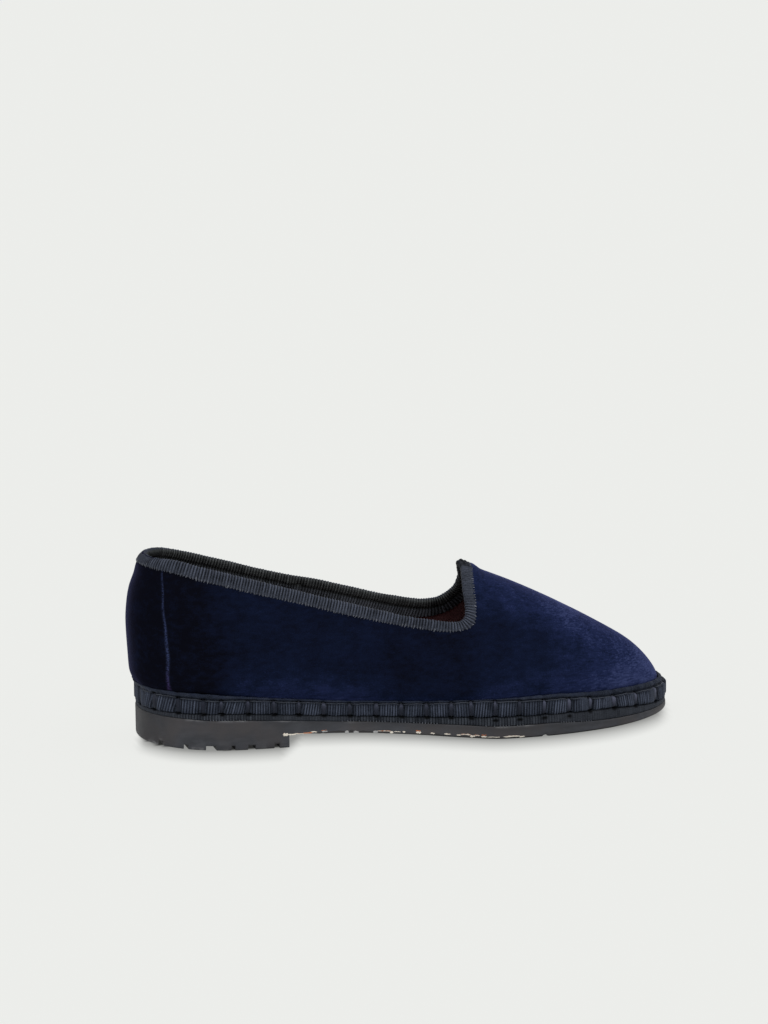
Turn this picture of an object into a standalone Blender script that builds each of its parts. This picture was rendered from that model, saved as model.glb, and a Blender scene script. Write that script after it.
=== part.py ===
"""Velvet slipper loafer, right shoe, size EU 37.

A hollow velvet upper with a ribbon bound collar stands on a ribbon covered textile midsole,
a thin rubber outsole and a wedge heel lift. A stitched ribbon welt closes the joint all round.
Every piece is one closed solid. Sizes are millimetres, stations run from heel to toe along X,
the lateral side is -Y, and the finished meshes are written in metres.
"""

import math
from collections import namedtuple
from functools import lru_cache

import bmesh
import bpy
import numpy as np
from mathutils import Vector

MM = 0.001
LATERAL, MEDIAL = -1, 1

# Driving sizes
SOLE_LENGTH = 241.0
GAP = 0.3
WELT_DEPTH = 3.8
WALL = 1.8
INSOLE_THICKNESS = 3.0
HEEL_BREAST = 61.4
TOE_SWING = 4.0
SWING_START = 150.0

# Rounding of the plan outline: the length that each end takes and the powers of its curve
HEEL_ROUND, HEEL_POWER = 34.0, 2.3
TOE_ROUND, TOE_POWER, TOE_FULLNESS = 87.0, 2.4, 1.95

# Half widths of the sole edge from the centre line, before its ends are rounded
Outline = namedtuple("Outline", "station lateral medial")
OUTLINE = [
    Outline(0, 30.5, 30.5),
    Outline(36, 31.5, 31.2),
    Outline(66, 31.8, 29.8),
    Outline(92, 32.4, 28.8),
    Outline(116, 35.4, 31.0),
    Outline(140, 39.8, 35.6),
    Outline(160, 42.6, 39.4),
    Outline(184, 43.6, 41.6),
    Outline(241, 43.6, 42.0),
]

# Side levels: underside of the outsole, then the thickness of each layer on it
Levels = namedtuple("Levels", "station underside outsole midsole welt")
LEVELS = [
    Levels(0, 9.0, 6.9, 1.6, 10.1),
    Levels(14, 8.7, 6.2, 2.1, 9.5),
    Levels(26, 8.3, 5.6, 2.6, 8.9),
    Levels(38, 7.9, 5.4, 2.7, 7.6),
    Levels(65, 5.9, 5.7, 2.4, 6.7),
    Levels(90, 4.8, 5.1, 2.2, 6.3),
    Levels(115, 3.1, 5.1, 2.5, 6.6),
    Levels(137, 1.2, 5.5, 3.3, 7.1),
    Levels(155, 0.0, 5.5, 4.0, 7.8),
    Levels(176, 0.0, 5.6, 3.8, 8.5),
    Levels(190, 0.0, 4.7, 4.3, 8.2),
    Levels(204, 0.0, 4.0, 4.7, 7.7),
    Levels(218, 0.3, 3.5, 3.6, 8.6),
    Levels(230, 0.9, 3.0, 2.4, 9.2),
    Levels(241, 1.8, 2.6, 1.6, 9.2),
]

# Top of the last along the centre line; behind the throat it is the line of the instep
Ridge = namedtuple("Ridge", "station height")
RIDGE = [
    Ridge(0, 128.0),
    Ridge(60, 111.0),
    Ridge(110, 90.0),
    Ridge(150, 70.3),
    Ridge(170, 61.5),
    Ridge(190, 51.4),
    Ridge(210, 39.9),
    Ridge(222, 32.3),
    Ridge(241, 19.0),
]
RIDGE_ROUND, RIDGE_POWER, RIDGE_FULLNESS = 20.0, 2.6, 2.5
SIDE_POWER, TOP_POWER = 2.4, 2.1

# Edge of the velvet round the opening: collar heights by station, then throat stations by height
Collar = namedtuple("Collar", "station lateral medial")
COLLAR = [
    Collar(0, 83.6, 83.6),
    Collar(13, 82.8, 82.1),
    Collar(30, 78.5, 77.6),
    Collar(48, 73.0, 72.2),
    Collar(68, 67.2, 66.7),
    Collar(90, 60.6, 61.6),
    Collar(112, 54.7, 55.5),
    Collar(125, 52.0, 52.2),
    Collar(134, 50.6, 50.4),
]
Throat = namedtuple("Throat", "height lateral medial")
THROAT = [
    Throat(50.6, 139.0, 141.6),
    Throat(53.2, 142.0, 146.4),
    Throat(57.6, 142.6, 149.9),
    Throat(62.4, 142.6, 150.6),
    Throat(67.0, 143.4, 149.2),
]
THROAT_CENTRE = 146.6
FAN_START = 60.0
MOST_LEAD = 1.72

# How far the wall stands out from the feather line, by its height above it
Flare = namedtuple("Flare", "height side heel")
FLARE = [
    Flare(0, 0.0, 0.0),
    Flare(4, 0.3, 0.3),
    Flare(7, 1.0, 1.4),
    Flare(9, 1.7, 3.8),
    Flare(11.5, 2.1, 5.5),
    Flare(14, 2.2, 6.2),
    Flare(20, 2.3, 6.6),
    Flare(36, 2.2, 7.3),
    Flare(44, 2.0, 6.7),
    Flare(50, 1.9, 5.6),
    Flare(57, 1.8, 3.0),
    Flare(64, 1.6, 0.2),
    Flare(69, 1.5, -4.6),
    Flare(74, 1.4, -7.8),
]
HEEL_REACH = 46.0

# Mesh fineness
RIBS = 84
FOOT_ROWS = (0.0, 3.5, 6.0, 7.8, 9.2, 11.0, 14.0)
RISE_ROWS = 11
PLATE_STATIONS = 36
STEPS_PER_STITCH = 3
DENSE = 1600

# Hand sewn stitches of the welt: how far each lies along its side from the middle of the heel
STITCHES = (
    5, 16, 27, 37, 44.5, 56, 67.5, 78.5, 89.5, 101, 113, 124,
    135, 146, 154.5, 165, 175.5, 186.5, 198, 208.5, 221, 234, 248.5, 262,
)
SIDE_RUN = 269.0

# Collar binding: tape thickness, how far it reaches down inside, and outside by station
TAPE = 0.7
TAPE_INSIDE = 8.0
Reach = namedtuple("Reach", "station outside")
TAPE_REACH = [
    Reach(0, 5.5),
    Reach(15, 5.4),
    Reach(40, 5.0),
    Reach(75, 4.5),
    Reach(105, 4.1),
    Reach(122, 3.7),
    Reach(134, 3.7),
    Reach(143, 4.2),
]

# Heel lift tread: station and width of each groove, and their depth
Groove = namedtuple("Groove", "station width")
GROOVES = [
    Groove(7.0, 2.0),
    Groove(16.6, 1.9),
    Groove(27.1, 4.6),
    Groove(36.7, 1.8),
    Groove(44.9, 3.4),
    Groove(56.0, 2.4),
]
GROOVE_DEPTH = 1.9
HEEL_BEVEL, HEEL_BEVEL_LENGTH = 2.7, 46.0


def through(rows, column, x):
    """Smooth curve through a table's rows that never overshoots them."""
    xs = np.array([row[0] for row in rows], float)
    ys = np.array([getattr(row, column) for row in rows], float)
    gaps = np.diff(xs)
    rise = np.diff(ys) / gaps
    slopes = np.empty_like(ys)
    slopes[0], slopes[-1] = rise[0], rise[-1]
    same = rise[:-1] * rise[1:] > 0
    total = np.where(same, rise[:-1] + rise[1:], 1.0)
    slopes[1:-1] = np.where(same, 2 * rise[:-1] * rise[1:] / total, 0.0)
    x = np.clip(np.asarray(x, float), xs[0], xs[-1])
    i = np.clip(np.searchsorted(xs, x, side="right") - 1, 0, len(gaps) - 1)
    t = (x - xs[i]) / gaps[i]
    rest = 1 - t
    ends = ys[i] * rest * rest * (1 + 2 * t) + ys[i + 1] * t * t * (3 - 2 * t)
    return ends + gaps[i] * t * rest * (slopes[i] * rest - slopes[i + 1] * t)


def eased(t):
    """Smooth step from 0 to 1."""
    t = np.clip(t, 0.0, 1.0)
    return t * t * (3 - 2 * t)


def rounded(t, power, fullness):
    """Falls from 1 at t = 0 to 0 at t = 1 along a superellipse."""
    t = np.clip(t, 0.0, 1.0)
    return (1 - t**power) ** (1 / fullness)


# Plan outline of the sole and its parallel curves

def side_name(side):
    return "lateral" if side == LATERAL else "medial"


def centre_line(station):
    return TOE_SWING * eased((station - SWING_START) / (SOLE_LENGTH - SWING_START))


def sole_edge(station, side):
    """Y of the sole edge at a station."""
    heel = rounded(1 - station / HEEL_ROUND, HEEL_POWER, HEEL_POWER)
    toe = rounded(1 - (SOLE_LENGTH - station) / TOE_ROUND, TOE_POWER, TOE_FULLNESS)
    return centre_line(station) + side * through(OUTLINE, side_name(side), station) * heel * toe


@lru_cache(maxsize=None)
def half_outline(side, inset):
    """Dense half outline from heel to toe, moved in from the sole edge by inset."""
    sweep = np.linspace(0, math.pi, DENSE)
    station = SOLE_LENGTH * (1 - np.cos(sweep)) / 2
    points = np.column_stack([station, sole_edge(station, side)])
    along = np.gradient(points, axis=0)
    along /= np.linalg.norm(along, axis=1)[:, None]
    along[0], along[-1] = (0, side), (0, -side)
    inward = np.column_stack([along[:, 1], -along[:, 0]]) * side
    return points + inset * inward, -inward


def edge_at(stations, side, inset):
    """Y of the moved in outline at each station."""
    points, _ = half_outline(side, inset)
    order = np.argsort(points[:, 0])
    return np.interp(stations, points[order, 0], points[order, 1])


def run_lengths(points):
    """Length along a line at each of its points."""
    steps = np.linalg.norm(np.diff(points, axis=0), axis=1)
    return np.concatenate([[0], np.cumsum(steps)])


def index_at(points, shares):
    """Indexes, as fractions, of the points at these shares of a dense line's length."""
    length = run_lengths(points)
    return np.interp(np.asarray(shares) * length[-1], length, np.arange(len(points)))


def at_index(points, index):
    whole = np.arange(len(points))
    return np.column_stack([np.interp(index, whole, column) for column in points.T])


def evenly(steps):
    """Even shares of a side, from heel to toe."""
    return tuple(np.linspace(0, 1, steps + 1))


def stitch_shares(steps):
    """Shares of a side with so many steps from each stitch to the next, and the pull at each."""
    marks = np.array([0, *STITCHES, SIDE_RUN]) / SIDE_RUN
    at = np.arange((len(marks) - 1) * steps + 1) / steps
    pull = (at % 1 == 0) & (at > 0) & (at < len(marks) - 1)
    return tuple(np.interp(at, np.arange(len(marks)), marks)), pull.astype(float)


def ring_outline(shares, inset):
    """Closed outline with a point at each share of both sides, from the heel by the lateral side,
    and its outward normals."""
    lateral, lateral_out = half_outline(LATERAL, inset)
    medial, medial_out = half_outline(MEDIAL, inset)
    outward = index_at(lateral, shares)
    homeward = index_at(medial, shares)[::-1][1:-1]
    points = np.vstack([at_index(lateral, outward), at_index(medial, homeward)])
    normals = np.vstack([at_index(lateral_out, outward), at_index(medial_out, homeward)])
    return points, normals / np.linalg.norm(normals, axis=1)[:, None]


# Levels of the layers, from the floor up

def underside(station):
    return through(LEVELS, "underside", station)


def outsole_top(station):
    return underside(station) + through(LEVELS, "outsole", station)


def midsole_top(station):
    return outsole_top(station) + through(LEVELS, "midsole", station)


def feather(station):
    """Height of the lower rim of the upper."""
    return midsole_top(station) + GAP


def ridge(station):
    """Height of the last's top line, brought down at the toe."""
    tip = SOLE_LENGTH - WELT_DEPTH
    fall = rounded(1 - (tip - station) / RIDGE_ROUND, RIDGE_POWER, RIDGE_FULLNESS)
    base = feather(station)
    return base + (through(RIDGE, "height", station) - base) * fall


# The upper: ribs that run from the feather line to the edge of the opening

def flare(height, heel_share):
    side = through(FLARE, "side", height)
    return side + (through(FLARE, "heel", height) - side) * heel_share


def opening_edge(side):
    """Dense plan line of the velvet's edge from the fan's start to the throat's centre."""
    name = side_name(side)
    rows = [(FAN_START, float(through(COLLAR, name, FAN_START)))]
    rows += [(row.station, getattr(row, name)) for row in COLLAR if row.station > FAN_START]
    rows += [(getattr(row, name), row.height) for row in THROAT]
    stations, heights = np.array(rows).T
    low = feather(stations)
    rise = (heights - low) / (ridge(stations) - low)
    shares = (1 - rise**TOP_POWER) ** (1 / SIDE_POWER)
    stations = np.append(stations, [THROAT_CENTRE, stations[-1]])
    shares = np.append(shares, [0.0, -shares[-1]])
    knots = np.concatenate([[0], np.cumsum(np.hypot(np.diff(stations), 40 * np.diff(shares)))])
    Knot = namedtuple("Knot", "at station share")
    table = [Knot(*row) for row in zip(knots, stations, shares)]
    at = np.linspace(0, knots[-2], DENSE)
    station = through(table, "station", at)
    share = through(table, "share", at)
    middle = centre_line(station)
    return np.column_stack([station, middle + share * (feather_edge(station, side) - middle)])


def feather_edge(station, side):
    return edge_at(station, side, WELT_DEPTH)


def rear_rib(foot, side):
    """Upright rib of the heel and quarter."""
    station, y = foot
    low, high = feather(station), ridge(station)
    top = (through(COLLAR, side_name(side), station) - low) / (high - low)
    rise = np.linspace(0, top, 80)
    middle = centre_line(station)
    across = middle + (y - middle) * (1 - rise**TOP_POWER) ** (1 / SIDE_POWER)
    return np.column_stack([np.full(80, station), across, low + rise * (high - low)])


def front_rib(foot, head, side):
    """Rib that leans back from the feather line to the edge of the opening."""
    along = np.linspace(0, 1, 120)[:, None] ** 2
    plan = foot + (head - foot) * along
    station = plan[:, 0]
    middle = centre_line(station)
    width = np.maximum(np.abs(feather_edge(station, side) - middle), 1e-6)
    share = np.clip(np.abs(plan[:, 1] - middle) / width, 0, 1)
    share[0] = 1.0
    low = feather(station)
    rise = (1 - share**SIDE_POWER) ** (1 / TOP_POWER)
    return np.column_stack([plan, low + rise * (ridge(station) - low)])


def upper_rib(foot, normal, head, side):
    """Dense rib with the flare of the wall added along the outline's normal."""
    rear = foot[0] <= FAN_START
    points = rear_rib(foot, side) if rear else front_rib(foot, head, side)
    height = points[:, 2] - points[0, 2]
    heel_share = 1 - eased(foot[0] / HEEL_REACH)
    vamp_share = eased((foot[0] - FAN_START) / (SOLE_LENGTH - FAN_START))
    fade = 1 - vamp_share * np.linspace(0, 1, len(points)) ** 2
    points[:, :2] += normal * (flare(height, heel_share) * fade)[:, None]
    return points


@lru_cache(maxsize=None)
def upper_ribs(shares):
    """All ribs of the upper, dense, from the heel by the lateral side."""
    feet, normals = ring_outline(shares, WELT_DEPTH)
    count, half = len(feet), len(shares) - 1
    ribs = [None] * count
    for side in (LATERAL, MEDIAL):
        members = range(half + 1) if side == LATERAL else range(count - 1, half, -1)
        edge = opening_edge(side)
        fan = [i for i in members if feet[i][0] > FAN_START]
        reach = np.cumsum([0.0] + [math.dist(feet[a], feet[b]) for a, b in zip(fan, fan[1:])])
        length = run_lengths(edge)
        first = feet[fan[0]][0] - FAN_START
        beyond = math.dist(feet[fan[-1]], feet[half])
        share = (first + reach) / (first + reach[-1] + beyond)
        lead = min((first + reach[-1]) / length[-1], MOST_LEAD)
        eased_share = lead * share - (lead - 1) * share**2
        heads = {}
        for i, part in zip(fan, eased_share):
            at = np.interp(part * length[-1], length, np.arange(len(edge)))
            heads[i] = at_index(edge, [at])[0]
        for i in members:
            ribs[i] = upper_rib(feet[i], normals[i], heads.get(i), side)
    return ribs


def on_rib(rib, lengths):
    """Points at the given lengths along a rib; past its top it runs straight on."""
    total = run_lengths(rib)
    inside = at_index(rib, np.interp(lengths, total, np.arange(len(rib))))
    last = rib[-1] - rib[-3]
    last /= np.linalg.norm(last)
    return inside + np.maximum(np.asarray(lengths) - total[-1], 0)[:, None] * last


def grid_normals(grid):
    """Outward normals of a ring of ribs."""
    around = np.roll(grid, -1, axis=0) - np.roll(grid, 1, axis=0)
    up = np.gradient(grid, axis=1)
    normals = np.cross(around, up)
    return normals / np.linalg.norm(normals, axis=2)[:, :, None]


# Turning point grids into solids

def ring_faces(count, rows):
    """Quads of a closed tube: count sections round the shoe, each a closed loop of rows points."""
    faces = []
    for i in range(count):
        j = (i + 1) % count
        for a in range(rows):
            b = (a + 1) % rows
            faces.append((i * rows + a, j * rows + a, j * rows + b, i * rows + b))
    return faces


def new_object(name, points, faces, material):
    """Object from millimetre points, with its faces turned outwards and round parts smooth."""
    mesh = bpy.data.meshes.new(name)
    mesh.from_pydata((np.asarray(points) * MM).tolist(), [], faces)
    work = bmesh.new()
    work.from_mesh(mesh)
    bmesh.ops.remove_doubles(work, verts=work.verts, dist=0.01 * MM)
    bmesh.ops.dissolve_degenerate(work, edges=work.edges, dist=0.001 * MM)
    bmesh.ops.triangulate(work, faces=[f for f in work.faces if len(f.verts) > 4])
    bmesh.ops.recalc_face_normals(work, faces=work.faces)
    work.to_mesh(mesh)
    work.free()
    mesh.shade_smooth()
    mesh.set_sharp_from_angle(angle=math.radians(50))
    mesh.materials.append(material)
    piece = bpy.data.objects.new(name, mesh)
    bpy.context.scene.collection.objects.link(piece)
    return piece


def plain_material(name, colour, roughness):
    material = bpy.data.materials.new(name)
    material.use_nodes = True
    shader = material.node_tree.nodes["Principled BSDF"]
    shader.inputs["Base Color"].default_value = (*colour, 1.0)
    shader.inputs["Roughness"].default_value = roughness
    shader.inputs["Metallic"].default_value = 0.0
    return material


def plate(name, rings, material, end=SOLE_LENGTH):
    """Plate lofted from heel to toe. Each ring is (inset, height function), listed from the floor up."""
    sections = []
    sweep = np.linspace(0, math.pi, PLATE_STATIONS)
    whole = end >= SOLE_LENGTH
    for inset, height in rings:
        first = inset
        last = SOLE_LENGTH - inset if whole else end
        share = (1 - np.cos(sweep)) / 2 if whole else 1 - np.cos(sweep / 2)
        station = first + (last - first) * share
        lateral = edge_at(station, LATERAL, inset)
        medial = edge_at(station, MEDIAL, inset)
        sections.append((station, lateral, medial, height(station)))
    points, rows = [], 2 * len(rings)
    for i in range(PLATE_STATIONS):
        points += [(s[i], lateral[i], z[i]) for s, lateral, _, z in sections]
        points += [(s[i], medial[i], z[i]) for s, _, medial, z in reversed(sections)]
    faces = [
        (i * rows + a, (i + 1) * rows + a, (i + 1) * rows + (a + 1) % rows, i * rows + (a + 1) % rows)
        for i in range(PLATE_STATIONS - 1)
        for a in range(rows)
    ]
    faces.append(tuple(range(rows)))
    faces.append(tuple(range((PLATE_STATIONS - 1) * rows, PLATE_STATIONS * rows)))
    return new_object(name, points, faces, material)


def make_upper(material):
    """Hollow velvet wall, open at the collar and underneath."""
    outer, inner = [], []
    rise = np.linspace(0, 1, RISE_ROWS + 1)
    for rib in upper_ribs(evenly(RIBS // 2)):
        length, foot = run_lengths(rib)[-1], FOOT_ROWS[-1]
        outer.append(on_rib(rib, np.append(FOOT_ROWS, foot + rise[1:] * (length - foot))))
        inner.append(on_rib(rib, rise * length))
    outer, inner = np.array(outer), np.array(inner)
    inner -= WALL * grid_normals(inner)
    inner[:, 0, 2] = outer[:, 0, 2]
    loops = np.concatenate([outer, inner[:, ::-1]], axis=1)
    return new_object("upper", loops.reshape(-1, 3), ring_faces(RIBS, loops.shape[1]), material)


def make_collar_binding(material):
    """Ribbon folded over the edge of the opening, following the wall inside and out."""
    ribs = upper_ribs(evenly(RIBS // 2))
    out = GAP + TAPE
    Fold = namedtuple("Fold", "down reach out")
    folds = [
        Fold(0, 1, out - 0.2),
        Fold(1.2, 0, out),
        Fold(-GAP - 0.6 * TAPE, 0, out - 0.5),
        Fold(-GAP - TAPE, 0, -WALL / 2),
        Fold(-GAP - 0.6 * TAPE, 0, 0.5 - WALL - out),
        Fold(1.2, 0, -WALL - out),
        Fold(TAPE_INSIDE, 0, 0.2 - WALL - out),
        Fold(TAPE_INSIDE, 0, -WALL - GAP),
        Fold(-GAP, 0, -WALL - GAP),
        Fold(-GAP, 0, GAP),
        Fold(0, 1, GAP),
    ]
    fixed, reach, offset = np.array(folds, float).T
    outside = through(TAPE_REACH, "outside", [rib[-1, 0] for rib in ribs])
    down = fixed + reach * outside[:, None]
    lines = np.array([on_rib(rib, run_lengths(rib)[-1] - row) for rib, row in zip(ribs, down)])
    steps = np.array([TAPE_INSIDE, TAPE_INSIDE / 2, 0.0])
    strips = np.array([on_rib(rib, run_lengths(rib)[-1] - steps) for rib in ribs])
    normals = grid_normals(strips)
    share = np.clip(down / TAPE_INSIDE, 0, 1)[:, :, None]
    normal = normals[:, 2:3] * (1 - share) + normals[:, 0:1] * share
    normal /= np.linalg.norm(normal, axis=2)[:, :, None]
    loops = lines + offset[None, :, None] * normal
    return new_object(
        "collar_binding", loops.reshape(-1, 3), ring_faces(RIBS, len(folds)), material
    )


def wall_reach(shares, heights):
    """How far the wall stands out from each foot point at heights above the feather line."""
    feet, normals = ring_outline(shares, WELT_DEPTH)
    reach = np.empty_like(heights)
    for i, rib in enumerate(upper_ribs(shares)):
        out = (rib[:, :2] - feet[i]) @ normals[i]
        reach[i] = np.interp(heights[i], rib[:, 2] - rib[0, 2], out)
    return reach


def make_welt(material):
    """Ribbon roll round the foot of the upper, drawn in at every stitch and leaning on the wall."""
    shares, side_pull = stitch_shares(STEPS_PER_STITCH)
    pull = np.concatenate([side_pull, side_pull[::-1][1:-1]])
    feet, normals = ring_outline(shares, WELT_DEPTH)
    station = feet[:, 0]
    tall = through(LEVELS, "welt", station)
    Roll = namedtuple("Roll", "up thick pull_out pull_down")
    rolls = [
        Roll(0.0, 2.6, 0.3, 0.0),
        Roll(0.15, 3.5, 0.6, 0.0),
        Roll(0.5, 3.3, 0.9, 0.0),
        Roll(0.82, 2.5, 0.8, 0.3),
        Roll(1.0, 1.3, 0.4, 0.6),
    ]
    backs = [0.97, 0.5, 0.0]
    ups = np.array([roll.up for roll in rolls] + backs)
    heights = tall[:, None] * ups
    reach = wall_reach(shares, heights) + GAP
    for k, roll in enumerate(rolls):
        front = np.minimum(reach[:, k] + roll.thick, WELT_DEPTH)
        reach[:, k] = np.maximum(front, reach[:, k] + 1.0) - roll.pull_out * pull
        heights[:, k] -= roll.pull_down * pull
    loops = np.empty((len(feet), len(ups), 3))
    loops[:, :, :2] = feet[:, None] + normals[:, None] * reach[:, :, None]
    loops[:, :, 2] = feather(station)[:, None] + heights
    return new_object("welt", loops.reshape(-1, 3), ring_faces(len(feet), len(ups)), material)


def make_midsole(material):
    """Textile plate that closes the upper underneath."""
    def low(station):
        return outsole_top(station) + GAP

    return plate("midsole", [(0.9, low), (0.5, midsole_top)], material)


def make_outsole(material):
    """Rubber plate with the arch and the toe spring."""
    rings = [
        (0.7, underside),
        (0.1, lambda station: underside(station) + 0.7),
        (0.1, lambda station: outsole_top(station) - 0.4),
        (0.5, outsole_top),
    ]
    return plate("outsole", rings, material)


def make_heel_lift(material):
    """Rubber wedge under the heel, bevelled at the back, with grooves across its tread."""
    def tread(station):
        return HEEL_BEVEL * np.clip(1 - station / HEEL_BEVEL_LENGTH, 0, 1) ** 1.6

    def top(station):
        return underside(station) - GAP

    rings = [
        (1.0, tread),
        (0.2, lambda station: tread(station) + 0.8),
        (0.1, top),
    ]
    lift = plate("heel_lift", rings, material, end=HEEL_BREAST)
    cutter = groove_cutter(tread)
    cut = lift.modifiers.new("grooves", "BOOLEAN")
    cut.operation = "DIFFERENCE"
    cut.object = cutter
    return lift


def groove_cutter(tread):
    """Boxes across the heel, one for each groove, joined as one hidden cutter."""
    work = bmesh.new()
    for groove in GROOVES:
        high = float(tread(np.array(groove.station))) + GROOVE_DEPTH
        low = -5.0
        size = Vector((groove.width, 90.0, high - low)) * MM
        place = Vector((groove.station, 0, (high + low) / 2)) * MM
        made = bmesh.ops.create_cube(work, size=1.0)["verts"]
        bmesh.ops.scale(work, vec=size, verts=made)
        bmesh.ops.translate(work, vec=place, verts=made)
    mesh = bpy.data.meshes.new("groove_cutter")
    work.to_mesh(mesh)
    work.free()
    cutter = bpy.data.objects.new("groove_cutter", mesh)
    bpy.context.scene.collection.objects.link(cutter)
    cutter.hide_render = True
    cutter.display_type = "WIRE"
    return cutter


def make_insole(material):
    """Footbed on the midsole, inside the wall."""
    def low(station):
        return midsole_top(station) + GAP

    def high(station):
        return low(station) + INSOLE_THICKNESS

    inset = WELT_DEPTH + WALL + GAP
    return plate("insole", [(inset + 0.2, low), (inset + 0.8, high)], material)


def clear_scene():
    for old in list(bpy.data.objects):
        bpy.data.objects.remove(old, do_unlink=True)


def centre_on_floor(pieces):
    """Moves every mesh so that the origin is under the middle of the shoe's box."""
    bpy.context.view_layer.update()
    corners = [p.matrix_world @ Vector(c) for p in pieces for c in p.bound_box]
    low = Vector(map(min, zip(*corners)))
    high = Vector(map(max, zip(*corners)))
    shift = Vector((-(low.x + high.x) / 2, -(low.y + high.y) / 2, -low.z))
    for piece in bpy.context.scene.objects:
        piece.location += shift


def build():
    clear_scene()
    velvet = plain_material("velvet", (0.012, 0.018, 0.055), 0.9)
    ribbon = plain_material("ribbon", (0.028, 0.033, 0.048), 0.75)
    rubber = plain_material("rubber", (0.045, 0.046, 0.05), 0.6)
    lining = plain_material("lining", (0.09, 0.012, 0.014), 0.85)
    pieces = [
        make_upper(velvet),
        make_collar_binding(ribbon),
        make_welt(ribbon),
        make_midsole(ribbon),
        make_outsole(rubber),
        make_heel_lift(rubber),
        make_insole(lining),
    ]
    centre_on_floor(pieces)


build()
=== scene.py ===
"""Velvet slipper loafer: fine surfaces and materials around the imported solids.

The shapes repeat the part's own tables and curves on finer grids. They are worked out in
millimetres, with stations from the heel's edge to the toe, and moved into the row frame by where
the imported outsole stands. The lateral side is -Y.
"""

import math
from collections import namedtuple
from functools import lru_cache

import bpy
import numpy as np
from mathutils import Matrix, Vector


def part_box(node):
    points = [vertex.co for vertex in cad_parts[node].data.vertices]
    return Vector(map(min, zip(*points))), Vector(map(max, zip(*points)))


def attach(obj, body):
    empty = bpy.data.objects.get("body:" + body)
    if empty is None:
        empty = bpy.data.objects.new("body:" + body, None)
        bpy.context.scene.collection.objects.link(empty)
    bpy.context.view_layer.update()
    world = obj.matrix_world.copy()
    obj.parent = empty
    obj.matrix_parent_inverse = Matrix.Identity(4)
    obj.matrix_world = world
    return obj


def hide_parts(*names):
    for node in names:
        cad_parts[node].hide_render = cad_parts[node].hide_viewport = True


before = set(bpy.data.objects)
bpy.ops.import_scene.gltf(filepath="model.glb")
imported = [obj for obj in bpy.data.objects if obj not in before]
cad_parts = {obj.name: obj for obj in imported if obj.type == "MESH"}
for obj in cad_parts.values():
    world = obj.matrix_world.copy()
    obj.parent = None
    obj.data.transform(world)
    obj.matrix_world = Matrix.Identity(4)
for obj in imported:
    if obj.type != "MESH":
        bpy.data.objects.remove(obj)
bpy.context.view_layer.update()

MM = 0.001
LATERAL, MEDIAL = -1, 1
BODY = "root"

# Driving sizes of the part
SOLE_LENGTH = 241.0
WELT_DEPTH = 3.8
WALL = 1.8
GAP = 0.3
INSOLE_THICKNESS = 3.0
HEEL_BREAST = 61.4
TOE_SWING, SWING_START = 4.0, 150.0
HEEL_ROUND, HEEL_POWER = 34.0, 2.3
TOE_ROUND, TOE_POWER, TOE_FULLNESS = 87.0, 2.4, 1.95
RIDGE_ROUND, RIDGE_POWER, RIDGE_FULLNESS = 20.0, 2.6, 2.5
SIDE_POWER, TOP_POWER = 2.4, 2.1
THROAT_CENTRE = 146.6
FAN_START = 60.0
MOST_LEAD = 1.72
HEEL_REACH = 46.0
TAPE_INSIDE = 8.0
GROOVE_DEPTH = 1.9
HEEL_BEVEL, HEEL_BEVEL_LENGTH = 2.7, 46.0
OUTSOLE_INSET = 0.1
PLATE_STATIONS = 36
DENSE = 1600

# Half widths of the sole edge from the centre line, before its ends are rounded
Outline = namedtuple("Outline", "station lateral medial")
OUTLINE = [
    Outline(0, 30.5, 30.5),
    Outline(36, 31.5, 31.2),
    Outline(66, 31.8, 29.8),
    Outline(92, 32.4, 28.8),
    Outline(116, 35.4, 31.0),
    Outline(140, 39.8, 35.6),
    Outline(160, 42.6, 39.4),
    Outline(184, 43.6, 41.6),
    Outline(241, 43.6, 42.0),
]

# Side levels: underside of the outsole, then the thickness of each layer on it
Levels = namedtuple("Levels", "station underside outsole midsole welt")
LEVELS = [
    Levels(0, 9.0, 6.9, 1.6, 10.1),
    Levels(14, 8.7, 6.2, 2.1, 9.5),
    Levels(26, 8.3, 5.6, 2.6, 8.9),
    Levels(38, 7.9, 5.4, 2.7, 7.6),
    Levels(65, 5.9, 5.7, 2.4, 6.7),
    Levels(90, 4.8, 5.1, 2.2, 6.3),
    Levels(115, 3.1, 5.1, 2.5, 6.6),
    Levels(137, 1.2, 5.5, 3.3, 7.1),
    Levels(155, 0.0, 5.5, 4.0, 7.8),
    Levels(176, 0.0, 5.6, 3.8, 8.5),
    Levels(190, 0.0, 4.7, 4.3, 8.2),
    Levels(204, 0.0, 4.0, 4.7, 7.7),
    Levels(218, 0.3, 3.5, 3.6, 8.6),
    Levels(230, 0.9, 3.0, 2.4, 9.2),
    Levels(241, 1.8, 2.6, 1.6, 9.2),
]

# Top of the last along the centre line
Ridge = namedtuple("Ridge", "station height")
RIDGE = [
    Ridge(0, 128.0),
    Ridge(60, 111.0),
    Ridge(110, 90.0),
    Ridge(150, 70.3),
    Ridge(170, 61.5),
    Ridge(190, 51.4),
    Ridge(210, 39.9),
    Ridge(222, 32.3),
    Ridge(241, 19.0),
]

# Edge of the velvet round the opening
Collar = namedtuple("Collar", "station lateral medial")
COLLAR = [
    Collar(0, 83.6, 83.6),
    Collar(13, 82.8, 82.1),
    Collar(30, 78.5, 77.6),
    Collar(48, 73.0, 72.2),
    Collar(68, 67.2, 66.7),
    Collar(90, 60.6, 61.6),
    Collar(112, 54.7, 55.5),
    Collar(125, 52.0, 52.2),
    Collar(134, 50.6, 50.4),
]
Throat = namedtuple("Throat", "height lateral medial")
THROAT = [
    Throat(50.6, 139.0, 141.6),
    Throat(53.2, 142.0, 146.4),
    Throat(57.6, 142.6, 149.9),
    Throat(62.4, 142.6, 150.6),
    Throat(67.0, 143.4, 149.2),
]

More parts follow.
